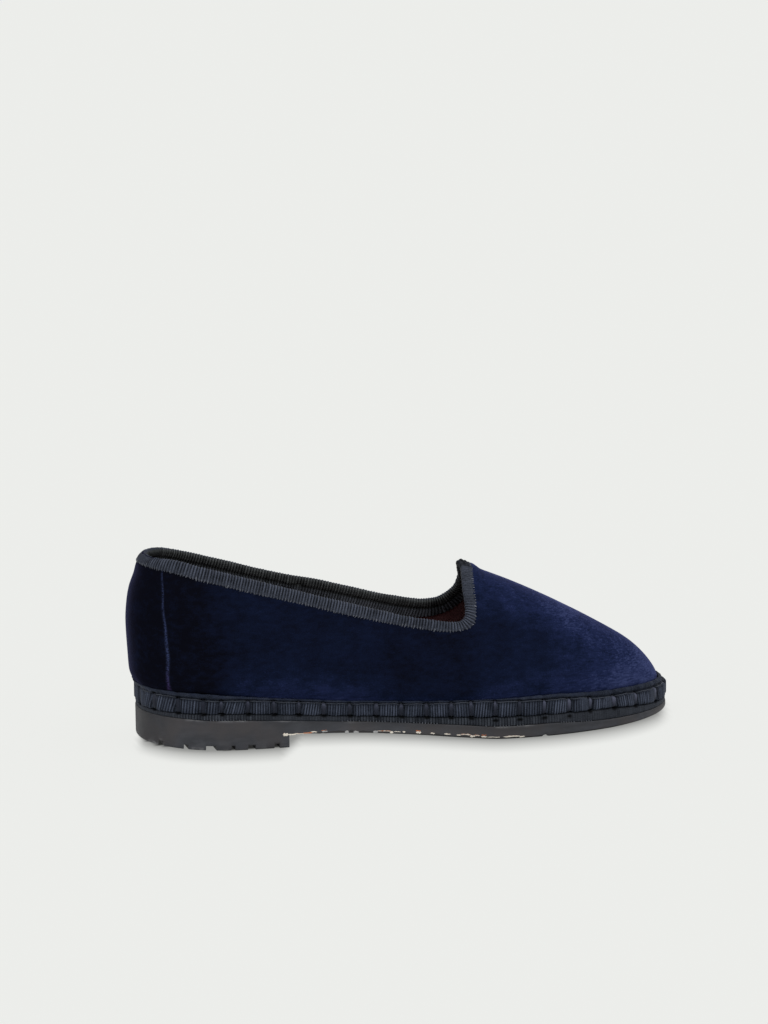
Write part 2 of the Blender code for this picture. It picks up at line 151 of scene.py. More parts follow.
# How far the collar's ribbon reaches down outside, by the station of the edge under it
Tape = namedtuple("Tape", "station outside")
TAPE = [
    Tape(-4, 4.1),
    Tape(4, 4.4),
    Tape(14, 5.2),
    Tape(22, 5.3),
    Tape(40, 5.0),
    Tape(75, 4.5),
    Tape(105, 4.1),
    Tape(122, 3.7),
    Tape(134, 3.7),
    Tape(143, 4.2),
]

# How far the wall stands out from the feather line, by its height above it
Flare = namedtuple("Flare", "height side heel")
FLARE = [
    Flare(0, 0.0, 0.0),
    Flare(4, 0.3, 0.3),
    Flare(7, 1.0, 1.4),
    Flare(9, 1.7, 3.8),
    Flare(11.5, 2.1, 5.5),
    Flare(14, 2.2, 6.2),
    Flare(20, 2.3, 6.6),
    Flare(36, 2.2, 7.3),
    Flare(44, 2.0, 6.7),
    Flare(50, 1.9, 5.6),
    Flare(57, 1.8, 3.0),
    Flare(64, 1.6, 0.2),
    Flare(69, 1.5, -4.6),
    Flare(74, 1.4, -7.8),
]

# Hand sewn stitches of the welt: how far each lies along its side from the middle of the heel
STITCHES = (
    5, 16, 27, 37, 44.5, 56, 67.5, 78.5, 89.5, 101, 113, 124,
    135, 146, 154.5, 165, 175.5, 186.5, 198, 208.5, 221, 234, 248.5, 262,
)
SIDE_RUN = 269.0

# Share of the welt's height at which its pillows end and its rim begins
Rim = namedtuple("Rim", "station share")
RIM = [
    Rim(0, 0.79),
    Rim(14, 0.75),
    Rim(28, 0.70),
    Rim(40, 0.79),
    Rim(58, 0.84),
    Rim(110, 0.85),
    Rim(130, 0.88),
    Rim(143, 0.93),
    Rim(155, 0.90),
    Rim(165, 0.82),
    Rim(176, 0.76),
    Rim(191, 0.74),
    Rim(201, 0.66),
    Rim(214, 0.67),
    Rim(228, 0.70),
    Rim(241, 0.75),
]

# Heel lift tread: station and width of each groove
Groove = namedtuple("Groove", "station width")
GROOVES = [
    Groove(7.0, 2.0),
    Groove(16.6, 1.9),
    Groove(27.1, 4.6),
    Groove(36.7, 1.8),
    Groove(44.9, 3.4),
    Groove(56.0, 2.4),
]

# Rear seam of each quarter: share of the side by length up the wall
Seam = namedtuple("Seam", "up share")
SEAM = [
    Seam(0, 0.0865),
    Seam(12, 0.0887),
    Seam(22, 0.0900),
    Seam(31, 0.0912),
    Seam(44, 0.0870),
    Seam(64, 0.0790),
    Seam(74, 0.0755),
]

# Soft troughs of the velvet: middle by station and height, lean from the level in degrees,
# half length, half width, and depth, which is negative for a swelling
Crease = namedtuple("Crease", "side station height lean long wide deep")
CREASES = [
    Crease(LATERAL, 36, 44, 84, 26, 7.0, 0.45),
    Crease(LATERAL, 58, 40, 78, 24, 8.0, -0.40),
    Crease(LATERAL, 84, 38, 70, 20, 7.0, 0.40),
    Crease(LATERAL, 116, 33, 58, 17, 6.5, 0.45),
    Crease(LATERAL, 138, 34, 48, 17, 6.0, -0.35),
    Crease(LATERAL, 152, 36, 52, 20, 5.5, 0.45),
    Crease(LATERAL, 176, 38, 24, 18, 5.0, 0.30),
    Crease(MEDIAL, 40, 44, 86, 26, 7.5, 0.45),
    Crease(MEDIAL, 74, 56, 80, 12, 4.5, 0.90),
    Crease(MEDIAL, 100, 36, 64, 18, 7.0, 0.45),
    Crease(MEDIAL, 150, 36, 50, 20, 6.0, 0.45),
    Crease(MEDIAL, 178, 38, 26, 18, 5.0, 0.30),
]

# Ribbon inside the collar: its fold line below the edge, and where it is crumpled on the medial side
INNER_FOLD = 3.3
CRUMPLE_STATION = 76.0

# Sole edge: stations between which the tier shows its picots and the rubber's top edge carries a pale painted
# highlight; below them, the same painted light along the heel's lower edge
TIER_PICOTS = ((26, 43), (84, 128), (144, 164), (181, 199))
LIT_EDGE_SPANS = ((11, 44), (54, 66), (84, 92), (150, 170))
HEEL_LIT_SPANS = ((2, 7), (18, 25), (29, 36), (46, 52), (57, 61))
Notch = namedtuple("Notch", "station wide deep")
NOTCH = Notch(173.5, 0.9, 1.1)

# Cord ends in the sole's edge: first and last station, rise of the middle over the lower edge, height
# at either end, and tint, from grey at -0.6 and cream at 0 by orange at 0.5 to black at 1
Fleck = namedtuple("Fleck", "first last rise tall tip tint")
FLECKS = [
    Fleck(58.6, 60.9, -0.35, 1.5, 1.3, 0.04),
    Fleck(60.4, 64.4, -0.20, 0.8, 0.45, 0.05),
    Fleck(63.6, 68.2, 0.15, 0.35, 0.35, 0.18),
    Fleck(67.6, 71.6, 0.45, 0.7, 0.6, 0.42),
    Fleck(70.8, 73.8, 0.85, 0.55, 0.4, 0.05),
    Fleck(72.4, 80.0, 0.35, 0.4, 0.6, 0.95),
    Fleck(75.8, 78.4, 0.95, 0.8, 0.6, -0.60),
    Fleck(75.2, 78.2, 1.45, 0.3, 0.25, 0.50),
    Fleck(78.4, 86.0, 0.75, 0.5, 1.2, 0.92),
    Fleck(86.0, 87.7, 0.45, 1.4, 1.6, -0.60),
    Fleck(88.2, 89.6, 0.85, 1.1, 0.9, 0.95),
    Fleck(89.8, 92.2, 0.50, 1.2, 0.8, -0.60),
    Fleck(92.4, 98.4, 0.70, 0.9, 0.5, 0.92),
    Fleck(98.4, 100.6, 0.65, 1.4, 1.0, -0.60),
    Fleck(100.4, 106.4, 1.15, 0.5, 0.55, 0.27),
    Fleck(100.8, 105.6, 0.45, 0.7, 0.7, 0.93),
    Fleck(105.8, 107.2, 0.75, 1.0, 0.9, 0.03),
    Fleck(107.4, 110.6, 1.10, 0.4, 0.3, 0.08),
    Fleck(111.2, 112.4, 1.10, 0.8, 0.6, 0.03),
    Fleck(116.9, 119.2, 1.15, 1.0, 1.1, 0.10),
    Fleck(116.9, 119.0, 1.85, 0.6, 0.5, 0.52),
    Fleck(123.2, 125.1, 1.15, 0.7, 0.45, 0.06),
    Fleck(125.0, 127.4, 0.75, 0.8, 0.7, 0.95),
    Fleck(129.0, 132.0, 1.20, 0.65, 0.5, 0.05),
    Fleck(134.4, 136.2, 1.15, 0.7, 0.6, 0.04),
    Fleck(136.0, 140.6, 1.50, 0.55, 0.6, 0.24),
    Fleck(140.2, 142.4, 0.90, 1.1, 0.8, 0.03),
    Fleck(142.0, 144.4, 1.40, 0.7, 0.5, 0.26),
    Fleck(145.0, 147.3, 1.00, 0.8, 0.7, 0.06),
    Fleck(145.0, 147.3, 1.60, 0.6, 0.5, 0.52),
    Fleck(147.2, 153.4, 0.95, 0.40, 0.35, 0.06),
    Fleck(154.6, 162.2, 1.05, 0.65, 0.6, 0.08),
    Fleck(161.6, 164.2, 0.70, 0.7, 0.6, 0.04),
]

# Fineness of the surfaces
WALL_STEPS, WALL_ROWS, BACK_ROWS = 190, 76, 14
LINING_STEPS, LINING_ROWS = 84, 26
SEAM_STEPS, SEAM_ZONE = 44, (0.070, 0.098)
REAR_POINTS, FRONT_POINTS = 80, 120
STITCH_STEPS, RIB_SAMPLES = 54, 6
REACH_TOP, REACH_LEVELS = 14, 29
PATCH_TOP, PATCH_STEP, PATCH_ROWS = -2.0, 0.5, 50
EDGE_ROW = round(-PATCH_TOP / PATCH_STEP)
SOLE_STEPS, SOLE_COLUMNS, TIER_COLUMNS = 330, 26, 2
INSOLE_STEPS, INSOLE_COLUMNS = 120, 16
HEEL_ROWS = 90
CORD_SIDES, PICOT_SIDES, FLECK_SIDES, STITCH_SIDES = 6, 6, 8, 10

# Length of one rib of each ribbon, and how many strengths the ribs have
COLLAR_PITCH, WELT_PITCH, TIER_PITCH = 1.3, 1.15, 1.26
RIB_KINDS = 997

# Depths in the wall at which the velvet ends and the lining begins
VELVET_BACK, LINING_BACK = 0.8, 0.9

# Share of the pillows' height at which the welt's cord runs
CORD_UP = 0.97

# Seeds of what is uneven
COLLAR_SEED, STITCH_SEED, PICOT_SEED, FLECK_SEED = 5, 7, 31, 21
WELT_RIB_SEED, TIER_RIB_SEED = 17, 19
CROWN_SEED, LEAN_SEED, PHASE_SEED, TALL_SEED, PLAIN_SEED, LOST_SEED = 3, 11, 12, 13, 14, 15

UPRIGHT = np.array([0.0, 0.0, 1.0])


# Curves of the part

def through(rows, column, x):
    """Smooth curve through a table's rows that never overshoots them."""
    xs = np.array([row[0] for row in rows], float)
    ys = np.array([getattr(row, column) for row in rows], float)
    gaps = np.diff(xs)
    rise = np.diff(ys) / gaps
    slopes = np.empty_like(ys)
    slopes[0], slopes[-1] = rise[0], rise[-1]
    same = rise[:-1] * rise[1:] > 0
    total = np.where(same, rise[:-1] + rise[1:], 1.0)
    slopes[1:-1] = np.where(same, 2 * rise[:-1] * rise[1:] / total, 0.0)
    x = np.clip(np.asarray(x, float), xs[0], xs[-1])
    i = np.clip(np.searchsorted(xs, x, side="right") - 1, 0, len(gaps) - 1)
    t = (x - xs[i]) / gaps[i]
    rest = 1 - t
    ends = ys[i] * rest * rest * (1 + 2 * t) + ys[i + 1] * t * t * (3 - 2 * t)
    return ends + gaps[i] * t * rest * (slopes[i] * rest - slopes[i + 1] * t)


def eased(t):
    """Smooth step from 0 to 1."""
    t = np.clip(t, 0.0, 1.0)
    return t * t * (3 - 2 * t)


def grows(x, start, over):
    """Smooth step from 0 at start to 1, over a length."""
    return eased((x - start) / over)


def fades(x, start, over):
    """Smooth step from 1 at start to 0, over a length."""
    return 1 - grows(x, start, over)


def bell(distance, width):
    return np.exp(-((distance / width) ** 2))


def rounded(t, power, fullness):
    """Falls from 1 at t = 0 to 0 at t = 1 along a superellipse."""
    t = np.clip(t, 0.0, 1.0)
    return (1 - t**power) ** (1 / fullness)


def in_spans(station, spans, soft):
    """1 between the two stations of each span and 0 outside them, with soft ends."""
    return sum(grows(station, first, soft) * eased((last - station) / soft) for first, last in spans)


def unit(vectors):
    """The same directions, of length 1."""
    return vectors / np.linalg.norm(vectors, axis=-1, keepdims=True)


def side_name(side):
    return "lateral" if side == LATERAL else "medial"


def centre_line(station):
    return TOE_SWING * grows(station, SWING_START, SOLE_LENGTH - SWING_START)


def sole_edge(station, side):
    """Y of the sole edge at a station."""
    heel = rounded(1 - station / HEEL_ROUND, HEEL_POWER, HEEL_POWER)
    toe = rounded(1 - (SOLE_LENGTH - station) / TOE_ROUND, TOE_POWER, TOE_FULLNESS)
    return centre_line(station) + side * through(OUTLINE, side_name(side), station) * heel * toe


@lru_cache(maxsize=None)
def half_outline(side, inset):
    """Dense half outline from heel to toe, moved in from the sole edge by inset."""
    sweep = np.linspace(0, math.pi, DENSE)
    station = SOLE_LENGTH * (1 - np.cos(sweep)) / 2
    points = np.column_stack([station, sole_edge(station, side)])
    along = unit(np.gradient(points, axis=0))
    along[0], along[-1] = (0, side), (0, -side)
    inward = np.column_stack([along[:, 1], -along[:, 0]]) * side
    return points + inset * inward, -inward


def edge_at(stations, side, inset):
    """Y of the moved in outline at each station."""
    points, _ = half_outline(side, inset)
    order = np.argsort(points[:, 0])
    return np.interp(stations, points[order, 0], points[order, 1])


def run_lengths(points):
    """Length along a line at each of its points."""
    steps = np.linalg.norm(np.diff(points, axis=0), axis=1)
    return np.concatenate([[0], np.cumsum(steps)])


def loop_lengths(points):
    """Length along a closed line at each of its points, and then its whole length."""
    return run_lengths(np.vstack([points, points[:1]]))


def index_at(points, shares):
    """Indexes, as fractions, of the points at these shares of a dense line's length."""
    length = run_lengths(points)
    return np.interp(np.asarray(shares) * length[-1], length, np.arange(len(points)))


def at_index(points, index):
    whole = np.arange(len(points))
    return np.column_stack([np.interp(index, whole, column) for column in points.T])


def evenly(steps):
    """Even shares of a side, from heel to toe."""
    return tuple(np.linspace(0, 1, steps + 1))


def both_sides(values):
    """A side's values for the whole ring, out by the lateral side and back by the medial one."""
    values = np.asarray(values)
    return np.concatenate([values, values[::-1][1:-1]])


def one_side(values):
    """The values of a ring's lateral side, from heel to toe."""
    return tuple(values[: len(values) // 2 + 1])


def is_lateral(count):
    """Which places of a ring are on its lateral side, with both ends."""
    return np.arange(count) <= count // 2


def ring_outline(shares, inset):
    """Closed outline with a point at each share of both sides, from the heel by the lateral side,
    and its outward normals."""
    lateral, lateral_out = half_outline(LATERAL, inset)
    medial, medial_out = half_outline(MEDIAL, inset)
    outward = index_at(lateral, shares)
    homeward = index_at(medial, shares)[::-1][1:-1]
    points = np.vstack([at_index(lateral, outward), at_index(medial, homeward)])
    normals = np.vstack([at_index(lateral_out, outward), at_index(medial_out, homeward)])
    return points, unit(normals)


def ring_at(shares, inset, height):
    """Ring of points at an inset from the sole edge, at a height that follows the station."""
    points, normals = ring_outline(shares, inset)
    return np.column_stack([points, height(points[:, 0])]), normals


def underside(station):
    return through(LEVELS, "underside", station)


def outsole_top(station):
    return underside(station) + through(LEVELS, "outsole", station)


def midsole_top(station):
    return outsole_top(station) + through(LEVELS, "midsole", station)


def feather(station):
    """Height of the lower rim of the upper."""
    return midsole_top(station) + GAP


def ridge(station):
    """Height of the last's top line, brought down at the toe."""
    tip = SOLE_LENGTH - WELT_DEPTH
    fall = rounded(1 - (tip - station) / RIDGE_ROUND, RIDGE_POWER, RIDGE_FULLNESS)
    base = feather(station)
    return base + (through(RIDGE, "height", station) - base) * fall


def flare(height, heel_share):
    side = through(FLARE, "side", height)
    return side + (through(FLARE, "heel", height) - side) * heel_share


def feather_edge(station, side):
    return edge_at(station, side, WELT_DEPTH)


def opening_edge(side):
    """Dense plan line of the velvet's edge from the fan's start to the throat's centre."""
    name = side_name(side)
    rows = [(FAN_START, float(through(COLLAR, name, FAN_START)))]
    rows += [(row.station, getattr(row, name)) for row in COLLAR if row.station > FAN_START]
    rows += [(getattr(row, name), row.height) for row in THROAT]
    stations, heights = np.array(rows).T
    low = feather(stations)
    rise = (heights - low) / (ridge(stations) - low)
    shares = (1 - rise**TOP_POWER) ** (1 / SIDE_POWER)
    stations = np.append(stations, [THROAT_CENTRE, stations[-1]])
    shares = np.append(shares, [0.0, -shares[-1]])
    knots = np.concatenate([[0], np.cumsum(np.hypot(np.diff(stations), 40 * np.diff(shares)))])
    Knot = namedtuple("Knot", "at station share")
    table = [Knot(*row) for row in zip(knots, stations, shares)]
    at = np.linspace(0, knots[-2], DENSE)
    station = through(table, "station", at)
    share = through(table, "share", at)
    middle = centre_line(station)
    return np.column_stack([station, middle + share * (feather_edge(station, side) - middle)])


def rear_rib(foot, side):
    """Upright rib of the heel and quarter."""
    station, y = foot
    low, high = feather(station), ridge(station)
    top = (through(COLLAR, side_name(side), station) - low) / (high - low)
    rise = np.linspace(0, top, REAR_POINTS)
    middle = centre_line(station)
    across = middle + (y - middle) * (1 - rise**TOP_POWER) ** (1 / SIDE_POWER)
    return np.column_stack([np.full(len(rise), station), across, low + rise * (high - low)])


def front_rib(foot, head, side):
    """Rib that leans back from the feather line to the edge of the opening."""
    along = np.linspace(0, 1, FRONT_POINTS)[:, None] ** 2
    plan = foot + (head - foot) * along
    station = plan[:, 0]
    middle = centre_line(station)
    width = np.maximum(np.abs(feather_edge(station, side) - middle), 1e-6)
    share = np.clip(np.abs(plan[:, 1] - middle) / width, 0, 1)
    share[0] = 1.0
    low = feather(station)
    rise = (1 - share**SIDE_POWER) ** (1 / TOP_POWER)
    return np.column_stack([plan, low + rise * (ridge(station) - low)])


def upper_rib(foot, normal, head, side):
    """Dense rib with the flare of the wall added along the outline's normal."""
    rear = foot[0] <= FAN_START
    points = rear_rib(foot, side) if rear else front_rib(foot, head, side)
    height = points[:, 2] - points[0, 2]
    heel_share = fades(foot[0], 0, HEEL_REACH)
    vamp_share = grows(foot[0], FAN_START, SOLE_LENGTH - FAN_START)
    fade = 1 - vamp_share * np.linspace(0, 1, len(points)) ** 2
    points[:, :2] += normal * (flare(height, heel_share) * fade)[:, None]
    return points


@lru_cache(maxsize=None)
def upper_ribs(shares):
    """All ribs of the upper, dense, from the heel by the lateral side."""
    feet, normals = ring_outline(shares, WELT_DEPTH)
    count, half = len(feet), len(shares) - 1
    ribs = [None] * count
    for side in (LATERAL, MEDIAL):
        members = range(half + 1) if side == LATERAL else range(count - 1, half, -1)
        edge = opening_edge(side)
        fan = [i for i in members if feet[i][0] > FAN_START]
        reach = np.cumsum([0.0] + [math.dist(feet[a], feet[b]) for a, b in zip(fan, fan[1:])])
        length = run_lengths(edge)
        first = feet[fan[0]][0] - FAN_START
        beyond = math.dist(feet[fan[-1]], feet[half])
        share = (first + reach) / (first + reach[-1] + beyond)
        lead = min((first + reach[-1]) / length[-1], MOST_LEAD)
        heads = at_index(edge, index_at(edge, lead * share - (lead - 1) * share**2))
        head_of = dict(zip(fan, heads))
        for i in members:
            ribs[i] = upper_rib(feet[i], normals[i], head_of.get(i), side)
    return ribs


def on_rib(rib, lengths):
    """Points at the given lengths along a rib; past its top it runs straight on."""
    total = run_lengths(rib)
    inside = at_index(rib, np.interp(lengths, total, np.arange(len(rib))))
    last = unit(rib[-1] - rib[-3])
    return inside + np.maximum(np.asarray(lengths) - total[-1], 0)[:, None] * last


def up_ribs(ribs, rows):
    """Points at even shares of each rib's length."""
    shares = np.linspace(0, 1, rows)
    return np.array([on_rib(rib, shares * run_lengths(rib)[-1]) for rib in ribs])


def grid_normals(grid):
    """Outward normals of a ring of ribs."""
    around = np.roll(grid, -1, axis=0) - np.roll(grid, 1, axis=0)
    return unit(np.cross(around, np.gradient(grid, axis=1)))


def loop_normals(loops):
    """Outward normals of a closed tube of closed loops."""
    around = np.roll(loops, -1, axis=0) - np.roll(loops, 1, axis=0)
    along = np.roll(loops, -1, axis=1) - np.roll(loops, 1, axis=1)
    normals = np.cross(around, along)
    normals /= np.maximum(np.linalg.norm(normals, axis=2), 1e-9)[:, :, None]
    outward = loops - loops.mean(axis=1, keepdims=True)
    return normals * np.sign((normals * outward).sum())


def spline(a, b, c, d, t):
    """Smooth curve from b to c, with a before and d after them."""
    return b + t / 2 * (c - a + t * (2 * a - 5 * b + 4 * c - d + t * (3 * (b - c) + d - a)))


def closed_at(points, at):
    """Smooth closed curve through rows of points, at fractional row numbers."""
    whole = np.floor(at).astype(int)
    t = (at - whole).reshape(-1, *[1] * (points.ndim - 1))
    return spline(*(points[(whole + k) % len(points)] for k in (-1, 0, 1, 2)), t)


def on_patch(patch, at, row):
    """Points of a closed ring of lines at fractional line and row numbers."""
    whole = np.floor(at).astype(int)
    low = np.clip(np.floor(row).astype(int), 0, patch.shape[1] - 2)
    s, t = (at - whole)[..., None], (row - low)[..., None]
    ends = []
    for level in (low, low + 1):
        ends.append(spline(*(patch[(whole + k) % len(patch), level] for k in (-1, 0, 1, 2)), s))
    return ends[0] * (1 - t) + ends[1] * t


# Meshes in the row frame

def row_shift():
    """From the shoe's stations to the row frame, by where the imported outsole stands."""
    low = np.array(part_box("outsole")[0]) / MM
    sweep = np.linspace(0, math.pi, PLATE_STATIONS)
    station = OUTSOLE_INSET + (SOLE_LENGTH - 2 * OUTSOLE_INSET) * (1 - np.cos(sweep)) / 2
    lateral = edge_at(station, LATERAL, OUTSOLE_INSET).min()
    return np.array([low[0] - OUTSOLE_INSET, low[1] - lateral, 0.0])


SHIFT = row_shift()


def link_mesh(name, points, faces, material, fields):
    """New object from points in metres, with named values at its points."""
    mesh = bpy.data.meshes.new(name)
    mesh.from_pydata(points.tolist(), [], faces)
    mesh.validate()
    mesh.shade_smooth()
    for label, values in fields.items():
        mesh.attributes.new(label, "FLOAT", "POINT").data.foreach_set(
            "value", np.asarray(values, np.float32).ravel()
        )
    mesh.materials.append(material)
    made = bpy.data.objects.new(name, mesh)
    bpy.context.scene.collection.objects.link(made)
    return made


def make_piece(name, points, faces, material, slot=None, replaces=(), fields=None):
    """Piece from millimetre points, riding on the shoe, with named values at its points."""
    piece = link_mesh(name, (np.asarray(points) + SHIFT) * MM, faces, material, fields or {})
    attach(piece, BODY)
    if replaces:
        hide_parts(*replaces)
    return piece


def tube_faces(sections, around, closed=False, flipped=False):
    """Quads between the neighbouring sections of a tube, each a closed loop of points. A closed tube
    joins its last section to its first."""
    i, a = np.meshgrid(np.arange(sections if closed else sections - 1), np.arange(around), indexing="ij")
    j, b = (i + 1) % sections, (a + 1) % around
    corners = [(i, a), (i, b), (j, b), (j, a)] if flipped else [(i, a), (j, a), (j, b), (i, b)]
    return np.stack([s * around + p for s, p in corners], axis=-1).reshape(-1, 4).tolist()


def make_ring(name, loops, material, **more):
    count, rows = loops.shape[:2]
    return make_piece(name, loops.reshape(-1, 3), tube_faces(count, rows, closed=True), material, **more)


def make_plate(name, rings, columns, material, relief=None, **more):
    """Closed plate from rings listed from the floor up, with both caps divided across.
    relief(station, share across) is added to the height inside the lower cap."""
    count = len(rings[0])
    half = count // 2
    points = list(np.concatenate(rings))
    faces = tube_faces(len(rings), count, flipped=True)
    shares = np.arange(1, columns) / columns
    for level in (0, len(rings) - 1):
        ring, base = rings[level], level * count
        rows = [[base] * (columns + 1)]
        for i in range(1, half):
            left, right = ring[i], ring[count - i]
            inner = left + (right - left) * shares[:, None]
            if relief and level == 0:
                inner[:, 2] += relief(inner[:, 0], shares)
            rows.append([base + i, *range(len(points), len(points) + columns - 1), base + count - i])
            points += list(inner)
        rows.append([base + half] * (columns + 1))
        for near, far in zip(rows, rows[1:]):
            for k in range(columns):
                corners = [near[k], far[k], far[k + 1], near[k + 1]]
                if level == 0:
                    corners.reverse()
                faces.append(tuple(dict.fromkeys(corners)))
    return make_piece(name, points, faces, material, **more)


def plate_fields(columns, **by_ring):
    """Values at a plate's points from those of its rings, with 0 inside its caps."""
    def whole(rings):
        return np.concatenate([*rings, np.zeros(2 * (len(rings[0]) // 2 - 1) * (columns - 1))])
    return {label: whole(rings) for label, rings in by_ring.items()}


def make_threads(name, paths, outward, widths, thick, material, sides, **by_point):
    """Joined threads. Each path is a row of points with its outward directions, and the widths follow
    it. Values by thread, point and side are kept under their names."""
    paths, outward = np.asarray(paths), np.asarray(outward)
    count, rows = paths.shape[:2]
    along = unit(np.gradient(paths, axis=1))
    across = unit(np.cross(along, outward))
    lift = np.cross(across, along)
    angle = 2 * math.pi * np.arange(sides) / sides
    widths = np.broadcast_to(widths, (count, rows))[:, :, None, None]
    flat = thick / np.max(widths)
    ring = np.cos(angle)[:, None] * across[:, :, None] + flat * np.sin(angle)[:, None] * lift[:, :, None]
    points = paths[:, :, None] + widths / 2 * ring
    pattern = tube_faces(rows, sides, flipped=True)
    pattern += [list(range(sides))[::-1], list(range((rows - 1) * sides, rows * sides))]
    faces = [[k * rows * sides + corner for corner in face] for k in range(count) for face in pattern]
    fields = {label: np.broadcast_to(values, (count, rows, sides)) for label, values in by_point.items()}
    return make_piece(name, points.reshape(-1, 3), faces, material, fields=fields)


def joined(front, back):
    """Rows of a section's front, and then those of its back."""
    return np.concatenate([front, back], axis=1)


# Materials

def new_material(name):
    material = bpy.data.materials.new(name)
    material.use_nodes = True
    tree = material.node_tree
    return material, tree, tree.nodes["Principled BSDF"]


def feed(tree, node, sources):
    """Inputs of a node by name or number, from values or sockets."""
    for key, value in sources.items():
        if isinstance(value, bpy.types.NodeSocket):
            tree.links.new(value, node.inputs[key])
        else:
            node.inputs[key].default_value = value


def add(tree, kind, sources=None, **settings):
    """New node with its plain settings and its inputs."""
    node = tree.nodes.new(kind)
    for key, value in settings.items():
        setattr(node, key, value)
    feed(tree, node, sources or {})
    return node


def math_node(tree, operation, first, second=0.0, third=0.0):
    return add(tree, "ShaderNodeMath", {0: first, 1: second, 2: third}, operation=operation).outputs[0]


def times(tree, first, second):
    return math_node(tree, "MULTIPLY", first, second)


def value_of(tree, label):
    return add(tree, "ShaderNodeAttribute", attribute_name=label).outputs["Fac"]


def own_place(tree):
    return add(tree, "ShaderNodeTexCoord").outputs["Object"]


def noise(tree, size, detail=2.0, stretch=(1, 1, 1), rough=0.5):
    """Noise whose lumps are about size millimetres, drawn out by stretch."""
    scale = [1 / (MM * size * s) for s in stretch]
    mapped = add(tree, "ShaderNodeMapping", {"Vector": own_place(tree), "Scale": scale}).outputs[0]
    sources = {"Vector": mapped, "Scale": 1.0, "Detail": detail, "Roughness": rough}
    return add(tree, "ShaderNodeTexNoise", sources).outputs["Fac"]


def spread(tree, value, low, high, to_low=0.0, to_high=1.0):
    sources = {"Value": value, "From Min": low, "From Max": high, "To Min": to_low, "To Max": to_high}
    return add(tree, "ShaderNodeMapRange", sources).outputs["Result"]


def opaque(colour):
    return colour if isinstance(colour, bpy.types.NodeSocket) else (*colour, 1.0)


def mix_colour(tree, share, first, second):
    sources = {0: share, 6: opaque(first), 7: opaque(second)}
    return add(tree, "ShaderNodeMix", sources, data_type="RGBA").outputs[2]


def bump(tree, height, depth, strength):
    """Normals from a 0 to 1 height, depth millimetres deep."""
    sources = {"Height": height, "Distance": depth * MM, "Strength": strength}
    return add(tree, "ShaderNodeBump", sources).outputs[0]


def velvet_material():
    """Short navy pile: its colour runs from dark to pale by the field nap, which is partly the pile's own
    tone and partly painted light; the sheen makes it pale where it is seen along its slope.
    """
    deep, pale = (0.0036, 0.0038, 0.0072), (0.0440, 0.0570, 0.1450)
    between = ((0.30, (0.0062, 0.0098, 0.0280)), (0.60, (0.0128, 0.0190, 0.0600)))
    seam_thread, low_thread = (0.0420, 0.0560, 0.1350), (0.0420, 0.0280, 0.0900)
    material, tree, shader = new_material("velvet_pile")
    nap_and_painted_light, seam, foot = (value_of(tree, label) for label in ("nap_and_painted_light", "seam", "foot"))
    dashes = noise(tree, 0.50, 1.0, (11.0, 4.0, 0.9), 0.5)
    specks = noise(tree, 0.55, 1.0, (1.4, 1.3, 0.9), 0.5)
    grain = noise(tree, 0.40, 2.0, (1.5, 1.2, 1.0), 0.7)
    flakes = noise(tree, 0.95, 2.0, (1.7, 1.3, 0.8), 0.6)
    strokes = noise(tree, 2.2, 3.0, (2.0, 1.5, 1.0), 0.6)
    tufts = noise(tree, 4.5, 3.0, (1.8, 1.4, 0.9), 0.65)
    clouds = noise(tree, 13.0, 3.0)
    brushed = spread(tree, nap_and_painted_light, 0.28, 0.60)
    ruffled = times(tree, spread(tree, nap_and_painted_light, 0.20, 0.32), spread(tree, nap_and_painted_light, 0.40, 0.54, 1.0, 0.1))
    open_pile = times(tree, brushed, spread(tree, foot, 0.0, 1.0, 1.0, 0.15))
    Layer = namedtuple("Layer", "grain low high down up where")
    layers = [
        Layer(clouds, 0.30, 0.70, -0.06, 0.06, 1.0),
        Layer(clouds, 0.35, 0.65, -0.04, 0.04, open_pile),
        Layer(flakes, 0.34, 0.66, -0.12, 0.12, open_pile),
        Layer(strokes, 0.30, 0.70, -0.08, 0.08, 1.0),
        Layer(grain, 0.25, 0.75, -0.08, 0.08, 1.0),
        Layer(dashes, 0.33, 0.67, -0.11, 0.11, brushed),
        Layer(tufts, 0.36, 0.66, -0.06, 0.10, ruffled),
    ]
    lift = nap_and_painted_light
    for layer in layers:
        step = spread(tree, layer.grain, layer.low, layer.high, layer.down, layer.up)
        lift = math_node(tree, "MULTIPLY_ADD", step, layer.where, lift)
    flecked = times(tree, spread(tree, specks, 0.57, 0.70), spread(tree, nap_and_painted_light, 0.10, 0.30))
    lift = math_node(tree, "MULTIPLY_ADD", flecked, spread(tree, foot, 0.0, 1.0, 0.14, 0.15), lift)
    ramp = add(tree, "ShaderNodeValToRGB", {"Fac": lift})
    stops = ramp.color_ramp.elements
    stops[0].color, stops[1].color = opaque(deep), opaque(pale)
    for place, colour in between:
        stops.new(place).color = opaque(colour)
    thread = mix_colour(tree, foot, seam_thread, low_thread)
    broken = times(tree, seam, spread(tree, specks, 0.40, 0.58, 0.15, 1.0))
    height = math_node(tree, "MULTIPLY_ADD", dashes, 0.4, times(tree, grain, 0.6))
    feed(tree, shader, {
        "Base Color": mix_colour(tree, broken, ramp.outputs[0], thread), "Roughness": 0.95,
        "Specular IOR Level": 0.0, "Sheen Weight": 0.55, "Sheen Roughness": 0.28,
        "Sheen Tint": (0.145, 0.15, 0.31, 1.0), "Normal": bump(tree, height, 0.18, 0.7),
    })
    return material


